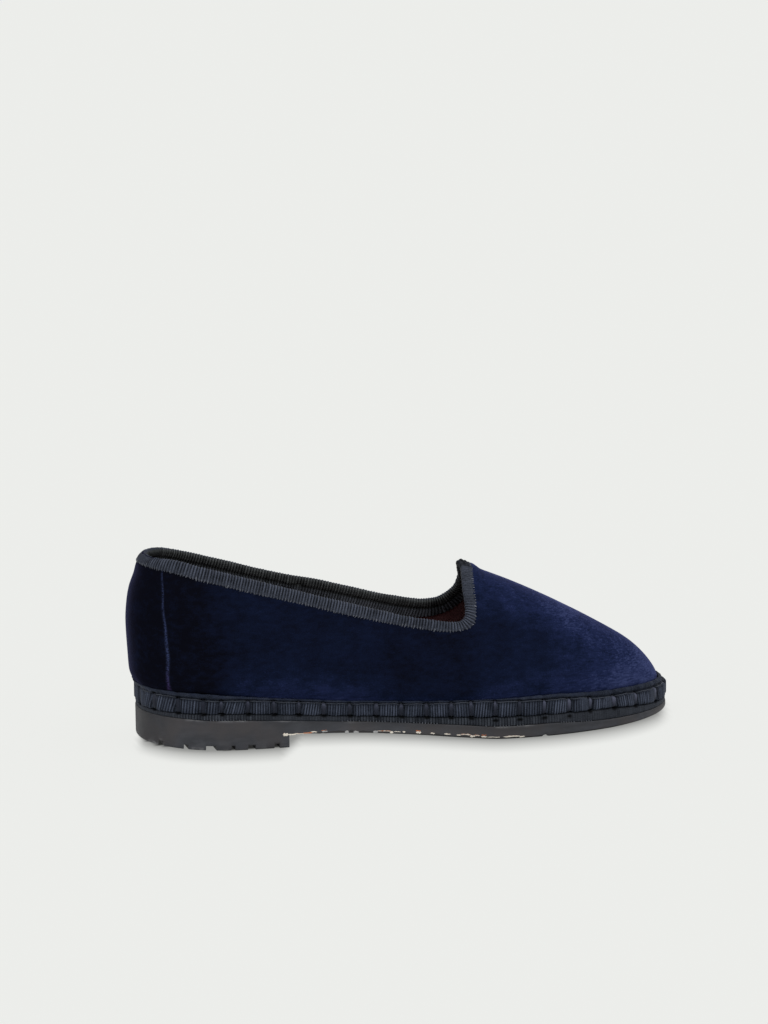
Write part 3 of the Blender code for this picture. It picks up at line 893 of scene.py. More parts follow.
def ribbon_material(name, valley, crest, gloss, inner=None, low=None):
    """Grosgrain: the pieces carry its ribs, and the fine warp across them is here. inner is the pair of
    colours where the field of that name is 1, warmer and greyer as a painted reflection of the lining, low
    the crest below its fold."""
    warp_pitch, rim_pile = 0.95, (0.0157, 0.0215, 0.0430)
    material, tree, shader = new_material(name)
    rib = value_of(tree, "rib")
    thread = math_node(tree, "SINE", times(tree, value_of(tree, "up"), 2 * math.pi / warp_pitch))
    patches, fuzz = noise(tree, 4.0, 3.0), noise(tree, 0.42, 2.0)
    share = math_node(tree, "MULTIPLY_ADD", rib, 0.90, spread(tree, patches, 0.3, 0.7, -0.10, 0.14))
    share = math_node(tree, "ADD", share, spread(tree, fuzz, 0.3, 0.7, -0.15, 0.15))
    share = math_node(tree, "MULTIPLY_ADD", times(tree, thread, rib), 0.09, share)
    colour = mix_colour(tree, share, valley, crest)
    if inner:
        top = mix_colour(tree, value_of(tree, "low"), inner[1], low)
        colour = mix_colour(tree, value_of(tree, "inner"), colour, mix_colour(tree, share, inner[0], top))
    pile = times(tree, value_of(tree, "pile"), spread(tree, fuzz, 0.35, 0.6, 0.25, 1.0))
    colour = mix_colour(tree, pile, colour, rim_pile)
    # painted shade in stitch holes, folds and crevices
    colour = mix_colour(tree, value_of(tree, "pit"), colour, tuple(0.12 * c for c in valley))
    feed(tree, shader, {
        "Base Color": colour, "Roughness": spread(tree, patches, 0.3, 0.7, gloss - 0.06, gloss + 0.1),
        "Specular IOR Level": 0.07, "Sheen Weight": 0.05, "Sheen Roughness": 0.5,
        "Sheen Tint": (0.30, 0.36, 0.55, 1.0),
        "Normal": bump(tree, math_node(tree, "MULTIPLY_ADD", thread, 0.3, fuzz), 0.07, 0.6),
    })
    return material


def thread_material(name, dark, pale, bright=None):
    """Twisted thread. bright is a painted highlight, its colour where the field "pale" is 1."""
    material, tree, shader = new_material(name)
    fibre, patches = noise(tree, 0.5, 2.0, (0.5, 0.5, 3.0)), noise(tree, 6.0)
    share = math_node(
        tree, "ADD", spread(tree, fibre, 0.25, 0.75, 0.0, 0.7), spread(tree, patches, 0.3, 0.7, -0.1, 0.4)
    )
    colour = mix_colour(tree, share, dark, pale)
    if bright:
        colour = mix_colour(tree, value_of(tree, "pale"), colour, bright)
    feed(tree, shader, {
        "Base Color": colour, "Roughness": 0.65, "Specular IOR Level": 0.12,
        "Sheen Weight": 0.06, "Sheen Roughness": 0.5, "Normal": bump(tree, fibre, 0.12, 0.8),
    })
    return material


def rubber_material(name):
    """Matte dark rubber with a fine moulded skin. Its colour carries painted light: darker by the field
    shade, a pale painted highlight by the field worn, and painted shade along its lower edge.
    """
    dark, pale, warm = (0.0420, 0.0440, 0.0520), (0.0700, 0.0725, 0.0850), (0.0650, 0.0590, 0.0620)
    shaded, lit_edge, lip = (0.0170, 0.0170, 0.0200), (0.17, 0.17, 0.18), (0.0070, 0.0065, 0.0055)
    material, tree, shader = new_material(name)
    skin, smear = noise(tree, 0.5, 3.0), noise(tree, 2.4, 3.0, (3, 1, 1))
    patches, hues = noise(tree, 13.0, 3.0, (2.2, 1, 1)), noise(tree, 17.0, 2.0)
    share = math_node(
        tree, "ADD", spread(tree, patches, 0.3, 0.7, -0.15, 0.9), spread(tree, smear, 0.35, 0.7, -0.25, 0.35)
    )
    colour = mix_colour(tree, share, dark, pale)
    colour = mix_colour(tree, spread(tree, hues, 0.42, 0.6, 0.0, 0.85), colour, warm)
    colour = mix_colour(tree, value_of(tree, "shade"), colour, shaded)
    # painted highlight where the edges catch the light, broken by the smear noise
    worn = times(tree, value_of(tree, "worn"), spread(tree, smear, 0.42, 0.58, 0.1, 1.0))
    colour = mix_colour(tree, worn, colour, lit_edge)
    # painted shade along the lower edge
    low = times(tree, value_of(tree, "lip"), spread(tree, smear, 0.4, 0.55, 0.45, 1.0))
    height = math_node(tree, "MULTIPLY_ADD", smear, 0.5, times(tree, skin, 0.5))
    feed(tree, shader, {
        "Base Color": mix_colour(tree, low, colour, lip),
        "Roughness": spread(tree, patches, 0.3, 0.7, 0.56, 0.70),
        "Specular IOR Level": 0.25, "Normal": bump(tree, height, 0.08, 0.6),
    })
    return material


def cloth_material(name, dark, pale, pitch):
    """Plain weave cloth, worked out from the shoe's own lengths."""
    material, tree, shader = new_material(name)
    place = add(tree, "ShaderNodeSeparateXYZ", {0: own_place(tree)})
    turns = math.pi / (pitch * MM)
    waves = [math_node(tree, "SINE", times(tree, place.outputs[k], turns)) for k in (0, 1, 2)]
    weave = times(tree, waves[0], math_node(tree, "ADD", waves[1], waves[2]))
    patches = noise(tree, 9.0, 3.0)
    share = math_node(tree, "MULTIPLY_ADD", weave, 0.16, spread(tree, patches, 0.3, 0.7, 0.25, 0.75))
    feed(tree, shader, {
        "Base Color": mix_colour(tree, share, dark, pale), "Roughness": 0.85, "Specular IOR Level": 0.2,
        "Sheen Weight": 0.2, "Sheen Roughness": 0.5,
        "Normal": bump(tree, spread(tree, weave, -2.0, 2.0), 0.16, 0.7),
    })
    return material


def fleck_material():
    """Cut cord ends of the sole: cream, with some grey, some orange and some black."""
    grey, cream = (0.33, 0.33, 0.335), (0.78, 0.72, 0.63)
    orange, black = (0.40, 0.12, 0.04), (0.022, 0.020, 0.021)
    material, tree, shader = new_material("cord_ends")
    grain = noise(tree, 0.7, 2.0)
    tint = math_node(tree, "ADD", value_of(tree, "tint"), spread(tree, grain, 0.3, 0.7, -0.14, 0.14))
    colour = mix_colour(tree, spread(tree, tint, -0.45, -0.20), grey, cream)
    colour = mix_colour(tree, spread(tree, tint, 0.20, 0.46), colour, orange)
    colour = mix_colour(tree, spread(tree, tint, 0.62, 0.80), colour, black)
    feed(tree, shader, {"Base Color": colour, "Roughness": 0.8, "Normal": bump(tree, grain, 0.12, 0.8)})
    return material


# Velvet, lining and binding

def seam_shares():
    """Shares of a side for the wall's ribs, closer together at the rear seam."""
    fine, margin = np.linspace(*SEAM_ZONE, SEAM_STEPS), 0.002
    even = np.linspace(0, 1, WALL_STEPS + 1)
    even = even[(even < fine[0] - margin) | (even > fine[-1] + margin)]
    return tuple(np.sort(np.concatenate([even, fine])))


def crease_depth(points, side_sign):
    """Outward shift of the velvet by its listed troughs."""
    shift = np.zeros(points.shape[:2])
    for crease in CREASES:
        lean = math.radians(crease.lean)
        x, z = points[:, :, 0] - crease.station, points[:, :, 2] - crease.height
        along = x * math.cos(lean) + z * math.sin(lean)
        across = z * math.cos(lean) - x * math.sin(lean)
        here = (side_sign == crease.side)[:, None]
        shift -= here * crease.deep * bell(across, crease.wide) * np.exp(-((along / crease.long) ** 4))
    return shift


def stitch_gap(arc):
    """Distance along a side from each place to the nearest stitch."""
    return np.abs(np.asarray(arc)[:, None] - np.array(STITCHES)[None]).min(axis=1)


def nap_and_painted_light_of(points):
    """Tone of the pile, partly its own and partly painted light: paler on the vamp's top and the toe where
    the light falls, darkest at the heel, with pale bands painted against the shade low on the wall and just
    over the welt, and a painted highlight along the vamp's crown.
    """
    x, y, z = np.moveaxis(points, 2, 0)
    above = z - feather(x)
    share_up = above / np.maximum(ridge(x) - feather(x), 1.0)
    quarter = 0.18 * grows(x, 18, 26) - 0.06 * grows(x, 88, 24) * fades(x, 138, 14)
    # painted light: a pale band low on the wall, where the wall faces down into shade
    low_band = 0.20 * bell(above - 8, 8) * grows(x, 26, 20) * (1 - 0.7 * grows(x, 88, 30))
    low_vamp = 0.15 * fades(above, 9, 13) * grows(x, 138, 18) * (1 - 0.5 * grows(x, 180, 15))
    top = 0.30 * grows(share_up, 0.62, 0.36) * grows(x, 138, 12) * fades(x, 186, 24)
    toe = 0.02 * grows(x, 142, 24) + 0.25 * grows(x, 170, 30) + 0.22 * grows(x, 200, 20)
    # painted light just over the welt, against the shade of the crevice there
    over_welt = above - through(LEVELS, "welt", x)
    hem = 0.19 * bell(over_welt - 0.3, 1.1) * grows(x, 36, 24) * fades(x, 150, 20)
    # painted highlight along the vamp's crown, standing in for the sheen seen along its slope
    over_crown = grows(y - centre_line(x), -8, 12) * grows(share_up, 0.945, 0.04)
    crown = 0.22 * over_crown * grows(x, 144, 10)
    return 0.02 + quarter + low_band + low_vamp + hem + top + toe + crown


def rear_seam(side_share, up):
    """Distance from the rear seam at lengths up the wall, and how clearly its thread shows."""
    wavers = 0.16 * np.sin(up / 2.3) + 0.12 * np.sin(up / 5.1 + 1.0)
    away = (side_share[:, None] - through(SEAM, "share", up)) * SIDE_RUN * 0.95 + wavers
    strength = 0.55 + 0.45 * bell(up - 30, 20) + 0.40 * bell(up - 10, 7)
    width = 0.36 + 0.16 * bell(up - 24, 14) + 0.26 * bell(up - 9, 6)
    return away, np.clip(strength, 0, 1) * bell(away, width) * grows(up, 4, 6)


def make_upper(velvet):
    """Velvet shell with its rear seams, its creases, the pull of the stitches and a swelling beside
    the ribbon."""
    ribs = upper_ribs(seam_shares())
    outer = up_ribs(ribs, WALL_ROWS)
    lengths = np.array([run_lengths(rib)[-1] for rib in ribs])[:, None]
    up = np.linspace(0, 1, WALL_ROWS) * lengths
    from_top = lengths - up
    side_share = both_sides(seam_shares())
    from_seam, seam = rear_seam(side_share, up)
    shift = crease_depth(outer, np.where(is_lateral(len(ribs)), LATERAL, MEDIAL))
    shift += 0.28 * bell(from_seam - 1.0, 0.8) - 0.45 * bell(from_seam, 0.5)
    pull = bell(stitch_gap(side_share * SIDE_RUN), 2.6)[:, None]
    shift -= 0.35 * pull * bell(up - 8.0, 5.0)
    edge = outer[:, -1:, 0]
    swell = (0.35 + 0.75 * grows(edge, 141, 4)) * bell(from_top - through(TAPE, "outside", edge) - 1.8, 2.8)
    shift = shift * eased(up / 6) * eased(from_top / 5) + swell
    normals = grid_normals(outer)
    shell = outer + normals * shift[:, :, None]
    back_rows = np.linspace(0, WALL_ROWS - 1, BACK_ROWS).astype(int)[::-1]
    back = (outer - VELVET_BACK * normals)[:, back_rows]
    back[:, -1, 2] = shell[:, 0, 2]
    # the field nap holds the pile's tone together with its painted light
    nap_and_painted_light, blank = nap_and_painted_light_of(shell), np.zeros((len(ribs), BACK_ROWS))
    fields = {
        "nap_and_painted_light": joined(nap_and_painted_light, nap_and_painted_light[:, back_rows]),
        "seam": joined(seam, blank),
        "foot": joined(fades(up, 10, 16), blank),
    }
    make_ring("velvet_upper", joined(shell, back), velvet, slot="velvet", replaces=["upper"], fields=fields)


def make_lining(cloth):
    """Lining on the inner face of the wall."""
    wall = up_ribs(upper_ribs(evenly(LINING_STEPS)), LINING_ROWS)
    normals = grid_normals(wall)
    face, behind = wall - WALL * normals, wall - LINING_BACK * normals
    face[:, 0, 2] = behind[:, 0, 2] = wall[:, 0, 2]
    make_ring("lining", joined(behind, face[:, ::-1]), cloth)


def binding_profile():
    """Section of the folded ribbon. Down from the velvet's edge is a length and a share of the
    ribbon's reach outside; then out from the velvet's face, and how ribbed."""
    Fold = namedtuple("Fold", "down reach out ribbed")
    proud, top = 0.66, 0.8
    half = WALL / 2 + proud
    rows = [Fold(0, 1, 0.02, 0), Fold(0, 1, 0.38, 0.5), Fold(-0.12, 1, 0.6, 1)]
    rows += [Fold(1.1 - 1.5 * share, share, proud, 1) for share in np.linspace(1, 0, 8)]
    for angle in np.linspace(0, math.pi, 11):
        rows.append(Fold(0.6 - (0.6 + top) * math.sin(angle), 0, half * math.cos(angle) - WALL / 2, 1))
    for down in np.linspace(1.1, TAPE_INSIDE - 0.2, 15):
        rows.append(Fold(down, 0, -WALL - proud + 0.4 * bell(down - INNER_FOLD, 0.6), 1))
    rows += [Fold(TAPE_INSIDE, 0, -WALL - 0.35, 0.5), Fold(TAPE_INSIDE, 0, -WALL - 0.02, 0)]
    return rows + [Fold(2.0, 0, -WALL - 0.02, 0), Fold(-0.05, 0, -WALL / 2, 0), Fold(2.0, 0, 0.02, 0)]


@lru_cache(maxsize=None)
def collar_patch():
    """Wall round the opening on ribs, from above its edge down, its normals, its edge, the run along
    the edge, and how far each rib leans from square to it."""
    Patch = namedtuple("Patch", "points normals edge run lean")
    most_lean, lean_rows, smooth_ribs = 0.88, 6, 4
    downs = PATCH_TOP + PATCH_STEP * np.arange(PATCH_ROWS)
    ribs = upper_ribs(evenly(WALL_STEPS))
    points = np.array([on_rib(rib, run_lengths(rib)[-1] - downs) for rib in ribs])
    normals = grid_normals(points[:, ::-1])[:, ::-1]
    edge = points[:, EDGE_ROW]
    along = unit(np.roll(edge, -1, axis=0) - np.roll(edge, 1, axis=0))
    lean = (along * unit(points[:, EDGE_ROW + lean_rows] - edge)).sum(axis=1)
    lean = np.mean([np.roll(lean, k) for k in range(-smooth_ribs, smooth_ribs + 1)], axis=0)
    return Patch(points, normals, edge, loop_lengths(edge), np.clip(lean, -most_lean, most_lean))


def round_edge(run, values):
    """Values of the ribs round the opening, at lengths along its edge."""
    return np.interp(run, collar_patch().run, np.append(values, values[0]))


def square_to_edge(run, downs):
    """Points of the wall and its normals, at lengths down square to the opening's edge."""
    patch = collar_patch()
    slope = round_edge(run, patch.lean)[:, None]
    square = np.sqrt(1 - slope**2)
    shifted = (run[:, None] - downs * slope / square) % patch.run[-1]
    at = np.interp(shifted, patch.run, np.arange(len(patch.run)))
    row = (downs / square - PATCH_TOP) / PATCH_STEP
    return on_patch(patch.points, at, row), unit(on_patch(patch.normals, at, row))


def ribbon_sections():
    """Places along the opening's edge for the ribbon's sections, RIB_SAMPLES to a rib, and the number
    of ribs. The ribs are even along the ribbon's middle, so they crowd on the inside of a bend."""
    patch = collar_patch()
    dense = np.linspace(0, patch.run[-1], DENSE)
    outside = through(TAPE, "outside", round_edge(dense, patch.edge[:, 0]))
    middle, _ = square_to_edge(dense, 0.5 * outside[:, None])
    length = run_lengths(middle[:, 0])
    ridges = round(length[-1] / COLLAR_PITCH)
    at = np.arange(ridges * RIB_SAMPLES) / (ridges * RIB_SAMPLES)
    return np.interp(at * length[-1], length, dense), ridges


def crumple_run():
    """Place along the opening's edge where the ribbon is crumpled on the medial side."""
    patch = collar_patch()
    away = np.abs(patch.edge[:, 0] - CRUMPLE_STATION)
    return patch.run[np.argmin(np.where(is_lateral(len(away)), np.inf, away))]


def make_binding(ribbon, picot):
    """Grosgrain folded over the edge of the opening, ribbed square to it, with its picot edge below.
    It is smooth round the back of the heel and crumpled into a knob at the throat's middle."""
    fixed, reach, outs, ribbed = (np.array(column) for column in zip(*binding_profile()))
    patch = collar_patch()
    places, ridges = ribbon_sections()
    run = places[:, None]
    station, height = (round_edge(places, patch.edge[:, k])[:, None] for k in (0, 2))
    outside = through(TAPE, "outside", station)
    downs = fixed + reach * outside
    rng = np.random.default_rng(COLLAR_SEED)
    tall = np.repeat(rng.uniform(0.55, 1.12, ridges), RIB_SAMPLES)[:, None]
    turns = np.arange(len(run))[:, None] / RIB_SAMPLES
    rib = (0.5 - 0.5 * np.cos(2 * math.pi * turns)) ** 1.3 * tall
    inside = eased((-WALL / 2 - outs) / 0.8)
    below_fold = grows(downs, INNER_FOLD, 0.8)
    front = grows(station, 137, 3) * grows(height, 54.5, 5)
    back = fades(station, 2, 5)
    back_inside = fades(station, 11, 5) * inside
    from_middle = np.abs(run - patch.run[len(patch.edge) // 2])
    knob, bulb, throat = fades(from_middle, 7, 4), bell(from_middle, 7.0), fades(from_middle, 10, 8)
    wander = 0.09 * np.sin(run / 7.3) + 0.06 * np.sin(run / 3.1 + 1.0)
    lift = (0.32 * (rib - 0.5) * (1 - 0.8 * np.maximum(front, back)) + wander) * ribbed
    along = run - crumple_run()
    crumple = 0.75 * bell(along, 6.5) * (0.6 + np.sin(along / 1.7))
    lift += crumple * inside * bell(downs - INNER_FOLD, 2.2)
    lift += bulb * (1.3 * inside * bell(downs - 1.6, 1.5) - 0.50 * bell(downs + 0.4, 0.7))
    wrinkles = np.sin(run * 2.1) * np.sin(downs * 1.7 + 0.6) * ribbed
    lift += (0.24 * knob + 0.18 * np.maximum(front, 0.6 * back)) * wrinkles
    wall, normal = square_to_edge(places, downs)
    loops = wall + normal * outs[:, None]
    loops = loops + loop_normals(loops) * lift[:, :, None]
    loops[:, :, 2] -= 0.75 * fades(station, 4, 14) * bell(downs, 2.6)
    low_half = grows(downs / outside, 0.5, 0.3) * (1 - inside)
    calm = 1 - (1 - 0.5 * low_half) * (1 - 0.65 * front) * (1 - 0.8 * back) * (1 - 0.9 * back_inside)
    tone = 0.62 + 0.38 * grows(station, -3, 24) - 0.10 * grows(station, 96, 14) * fades(station, 138, 6)
    # painted shade: darker in the crumpled knob and round the throat's middle
    tone = tone - 0.15 * knob - 0.10 * throat
    # painted light: the inner ribbon is lightened toward the throat, most on the crests below its fold,
    # against the shade of the near wall
    painted_inner_light = grows(station, 86, 30) * fades(station, 134, 8) * (0.20 + 0.60 * rib * below_fold) * inside
    mottle = 0.5 + 0.5 * np.sin(run * 3.9) * np.sin(downs * 3.1 + run * 0.7)
    # painted shade in the fold inside, in the crumpled knob and in the wrinkles at the throat's front
    pit = 0.58 * bell(downs - INNER_FOLD, 1.0) * inside
    pit += knob * bell(downs - 0.4, 2.6) * (0.45 + 0.45 * mottle) + 0.22 * front * mottle
    fields = {
        "rib": (rib * (1 - calm) + 0.41 * calm) * tone + painted_inner_light,
        "up": downs + np.repeat(rng.uniform(0, 0.95, ridges), RIB_SAMPLES)[:, None],
        "pit": np.clip(pit, 0, 0.9),
        "inner": np.broadcast_to(inside, downs.shape),
        "low": below_fold * inside,
    }
    make_ring(
        "collar_ribbon", loops, ribbon, slot="binding_ribbon", replaces=["collar_binding"], fields=fields
    )
    crests = slice(RIB_SAMPLES // 2, None, RIB_SAMPLES)
    make_ribbon_picots(places[crests], station[crests], outside[crests], rng, picot)


def make_ribbon_picots(places, station, outside, rng, picot):
    """Weft loops along the lower edge of the collar's ribbon, one to a rib."""
    count = len(places)
    reaches = outside + np.array([-0.8, -0.3, 0.1, 0.45]) * rng.uniform(0.3, 1.7, count)[:, None]
    paths, outward = square_to_edge(places, reaches)
    along = np.roll(paths[:, 1], -1, axis=0) - np.roll(paths[:, 1], 1, axis=0)
    slant = rng.uniform(-0.22, 0.22, count)[:, None] * np.array([0.0, 0.1, 0.6, 1.0])
    proud = np.array([0.58, 0.74, 0.58, 0.05])
    paths = paths + slant[:, :, None] * along[:, None] + outward * proud[:, None]
    widths = np.array([0.3, 0.6, 0.55, 0.3]) * rng.uniform(0.6, 1.15, count)[:, None]
    # painted highlights on some picots, more of them toward the throat
    pale = rng.random(count)[:, None] ** 2 * (0.45 + 0.55 * grows(station, 128, 10))
    make_threads("ribbon_picots", paths, outward, widths, 0.36, picot, PICOT_SIDES, pale=pale[:, :, None])


# Welt, stitches and the tier under it

Roll = namedtuple("Roll", "zone up thick ribbed pulled")


def pillows(side_share):
    """For each place round the ring: its pillow's number, and the share of the way along the pillow."""
    arc = side_share * SIDE_RUN
    marks = np.array([-STITCHES[0], *STITCHES, 2 * SIDE_RUN - STITCHES[-1]])
    number = np.clip(np.searchsorted(marks, arc, side="right") - 1, 0, len(marks) - 2)
    along = (arc - marks[number]) / (marks[number + 1] - marks[number])
    inner = (number > 0) & (number < len(marks) - 2)
    return number + len(marks) * (~is_lateral(len(arc)) & inner), along


def by_pillow(number, low, high, seed):
    """A steady random value for each pillow."""
    values = np.random.default_rng(seed).uniform(low, high, 2 * len(STITCHES) + 4)
    return values[number][:, None]


def rib_wave(turns, power, seed):
    """Ribs of ribbon at turns along it, each with a steady strength of its own."""
    strength = np.random.default_rng(seed).uniform(0.40, 1.20, RIB_KINDS)
    kind = np.floor(turns).astype(int) % RIB_KINDS
    return (0.5 - 0.5 * np.cos(2 * math.pi * turns)) ** power * strength[kind]


def stitch_shares(steps):
    """Shares of a side with so many steps from each stitch to the next."""
    marks = np.array([0, *STITCHES, SIDE_RUN]) / SIDE_RUN
    at = np.arange((len(marks) - 1) * steps + 1) / steps
    return tuple(np.interp(at, np.arange(len(marks)), marks))


def wall_reach(side_share, heights):
    """How far the wall stands out from the foot line at heights above it, round the whole ring."""
    feet, normals = ring_outline(evenly(WALL_STEPS), WELT_DEPTH)
    ribs = upper_ribs(evenly(WALL_STEPS))
    levels = np.linspace(0, REACH_TOP, REACH_LEVELS)
    table = np.array([
        np.interp(levels, rib[:, 2] - rib[0, 2], (rib[:, :2] - foot) @ normal)
        for rib, foot, normal in zip(ribs, feet, normals)
    ])
    at = np.where(is_lateral(len(side_share)), side_share, 2 - side_share) * WALL_STEPS
    fine = closed_at(table, at)
    place = np.clip(heights / (levels[1] - levels[0]), 0, len(levels) - 1.001)
    low = place.astype(int)
    rows = np.arange(len(fine))[:, None]
    return fine[rows, low] + (fine[rows, low + 1] - fine[rows, low]) * (place - low)


def welt_profile():
    """Front of the welt from its foot, in its pillows (zone 0) and then its rolled rim (zone 1):
    share up the zone, thickness, how ribbed, and how far the stitches pull it."""
    rows = [Roll(0, 0.0, 2.2, 0, 0.4), Roll(0, 0.02, 3.0, 0.6, 0.6), Roll(0, 0.06, 3.4, 1, 0.85)]
    for up in np.linspace(0.13, 0.86, 10):
        rows.append(Roll(0, up, 3.5 + 0.25 * math.sin(math.pi * up), 1, 1.0))
    rows += [Roll(0, 0.92, 3.3, 0.9, 0.95), Roll(0, CORD_UP, 2.8, 0.5, 0.85), Roll(0, 1.0, 1.9, 0, 0.6)]
    rows += [Roll(1, 0.08, 1.3, 0, 0.5), Roll(1, 0.22, 1.65, 0.1, 0.45), Roll(1, 0.45, 1.85, 0.15, 0.4)]
    rows += [Roll(1, 0.68, 1.7, 0.15, 0.4), Roll(1, 0.87, 1.25, 0.1, 0.4), Roll(1, 0.97, 0.8, 0, 0.35)]
    return rows + [Roll(1, 1.0, 0.3, 0, 0.3)]


def welt_front(side_share, rows):
    """Front of the welt without its ribs: points for each place round the ring and each row, the
    line of its foot with the outward normals, the run along that line, the distance to the nearest
    stitch, and how far each point is over the top of the pillows."""
    Front = namedtuple("Front", "points feet normals run gap over")
    feet, normals = ring_outline(one_side(side_share), WELT_DEPTH)
    station = feet[:, :1]
    run = loop_lengths(feet)[:-1, None]
    zone, up, thick, _, pulled = (np.array(column) for column in zip(*rows))
    tall = through(LEVELS, "welt", station)
    top = tall * through(RIM, "share", station)
    heights = np.where(zone == 0, up * top, top + up * (tall - top))
    over = heights - top
    thick = np.where(zone == 0, thick, thick * np.clip((tall - top) / 1.4, 0.5, 1))
    wall = wall_reach(side_share, heights)
    gap = stitch_gap(side_share * SIDE_RUN)[:, None]
    number, along = pillows(side_share)
    pull = bell(gap, 1.30)
    hole = bell(gap, 0.95) * bell(over - 0.15, 0.6)
    crown = (4 * along * (1 - along))[:, None] * by_pillow(number, 0.5, 1.35, CROWN_SEED)
    lumps = 0.12 * np.sin(run / 1.7) + 0.09 * np.sin(run / 0.77 + 1.0) + 0.05 * np.sin(run / 0.31)
    reach = np.maximum(np.minimum(wall + GAP + thick, WELT_DEPTH + 0.12), wall + 0.5 * thick)
    reach = reach + pulled * (0.38 * (crown - 0.5) * (zone == 0) - 1.25 * pull) - 0.6 * hole
    reach = np.maximum(reach + lumps * (zone == 1), wall + 0.1)
    low, high = bell(up, 0.12) * (zone == 0), grows(up, 0.75, 0.2) * (zone == 0)
    heights = heights + (0.45 * pull + 0.8 * lumps) * low
    heights = heights + (0.34 * (crown - 0.7) - 0.35 * pull + 0.8 * lumps) * high
    heights = heights + (0.5 * lumps - 0.25 * pull) * eased(up / 0.3) * (zone == 1)
    plan = feet[:, None] + normals[:, None] * reach[:, :, None]
    points = np.concatenate([plan, (feather(station) + heights)[:, :, None]], axis=2)
    return Front(points, feet, normals, run, gap, over)


def welt_ribs(front, side_share, raised):
    """Ribs of the welt's cloth at each point of its front, lower and broken at the heel and the toe,
    and how smooth the cloth is there."""
    station = front.feet[:, :1]
    number, along = pillows(side_share)
    lateral = is_lateral(len(station))[:, None]
    own_lean, phase = by_pillow(number, -0.10, 0.16, LEAN_SEED), by_pillow(number, 0, 1, PHASE_SEED)
    lean = own_lean + 0.22 * fades(station, 0, 90) - 0.2 * grows(station, 170, 60)
    turns = (front.run - np.where(lateral, lean, -lean) * raised) / WELT_PITCH + phase
    ahead = np.where(lateral, along[:, None], 1 - along[:, None])
    plain = 0.85 * grows(station, 172, 26) * grows(ahead, by_pillow(number, 0.35, 0.6, PLAIN_SEED), 0.2)
    plain = np.maximum(plain, 0.65 * fades(station, 3, 7))
    return rib_wave(turns, 1.25, WELT_RIB_SEED) * by_pillow(number, 0.72, 1.08, TALL_SEED), plain


def make_welt(ribbon, cord):
    """Padded grosgrain band, drawn into pillows by the stitches, with a rolled rim on the velvet."""
    side_share = both_sides(stitch_shares(STITCH_STEPS))
    rows = welt_profile()
    front = welt_front(side_share, rows)
    gap, over, station, run = front.gap, front.over, front.feet[:, :1], front.run
    zone, up, _, ribbed, _ = (np.array(column) for column in zip(*rows))
    backs = np.array([0.9, 0.45, 0.0])
    tall = through(LEVELS, "welt", station)
    back_reach = wall_reach(side_share, tall * backs) + 0.02
    back_plan = front.feet[:, None] + front.normals[:, None] * back_reach[:, :, None]
    back = np.concatenate([back_plan, (feather(station) + tall * backs)[:, :, None]], axis=2)
    loops = joined(front.points, back)
    raised = front.points[:, :, 2] - feather(station) - 0.4 * tall
    rib, plain = welt_ribs(front, side_share, raised)
    near, blank = bell(gap, 1.6), np.zeros(back.shape[:2])
    lift = joined(0.40 * (rib - 0.45) * (1 - near) * ribbed * (1 - plain), blank)
    loops = loops + loop_normals(loops) * lift[:, :, None]
    # painted shade: the crests are darker at the pillows' foot and under the rim
    fade = (0.66 + 0.34 * eased(up / 0.4)) * (1 - 0.7 * grows(up, 0.78, 0.16))
    tone = 1 + 0.16 * bell(station - 12, 12) - 0.14 * bell(station - 92, 36) + 0.16 * bell(station - 166, 18)
    tone = tone + 0.28 * bell(station - 203, 18) - 0.04 * grows(station, 224, 10)
    crest = (rib * fade * (1 - plain) * (1 - 0.75 * near) + 0.30 * plain) * tone
    # the rim is darker toward the toe, painted shade
    rim = 0.22 - 0.10 * grows(station, 180, 16)
    crest = np.where(zone == 0, np.where(ribbed > 0.3, crest, 0.10), rim)
    # painted shade in the stitch holes, beside each stitch and in the crevice under the rim
    holes = bell(gap, 1.05) * bell(over - 0.1, 0.6) + bell(gap, 1.0) * bell(up * 6, 0.5) * (zone == 0)
    beside = 0.45 * bell(gap - 1.6, 0.40) * (zone == 0)
    pit = np.clip(1.25 * holes + beside + 0.18 * bell(over, 0.22), 0, 1)
    patchy = 0.6 + 0.4 * np.sin(run / 2.3) * np.sin(run / 0.9 + 2.0)
    pile = patchy * (1 - 0.6 * grows(station, 190, 14)) * grows(up, 0.1, 0.7) * (zone == 1)
    fields = {"rib": crest, "pit": pit, "up": raised + np.floor(run) * 0.37, "pile": pile}
    fields = {label: joined(values, blank) for label, values in fields.items()}
    piece = make_ring("welt_ribbon", loops, ribbon, slot="welt_ribbon", replaces=["welt"], fields=fields)
    make_edge_cord(front, [row.up for row in rows].index(CORD_UP), side_share, cord)


def sewn_front(rows):
    """Front of the welt at its stitches alone, and the numbers of its places that have one."""
    side_share = both_sides(np.array([0.0, *STITCHES, SIDE_RUN]) / SIDE_RUN)
    return welt_front(side_share, rows), np.flatnonzero((side_share > 0) & (side_share < 1))


def make_edge_cord(front, row, side_share, cord):
    """Thin cord along the top of the pillows, which dives into the stitch holes and is lost on some."""
    radius, every = 0.17, 2
    station = front.feet[:, :1]
    outward = np.column_stack([front.normals, np.zeros(len(front.normals))])
    number, _ = pillows(side_share)
    lost = (by_pillow(number, -0.5, 0.5, LOST_SEED) > 0.05) & (station > 48)
    lost = lost | (station > 204) | (station < 5)
    sunk = 0.10 - 0.5 * bell(front.gap, 1.5) - 0.5 * lost
    line = front.points[:, row] + outward * sunk + 0.12 * UPRIGHT
    angle = (2 * math.pi * np.arange(CORD_SIDES) / CORD_SIDES)[:, None]
    ring = np.cos(angle) * outward[:, None] + np.sin(angle) * UPRIGHT
    make_ring("welt_cord", (line[:, None] + radius * ring)[::every], cord)


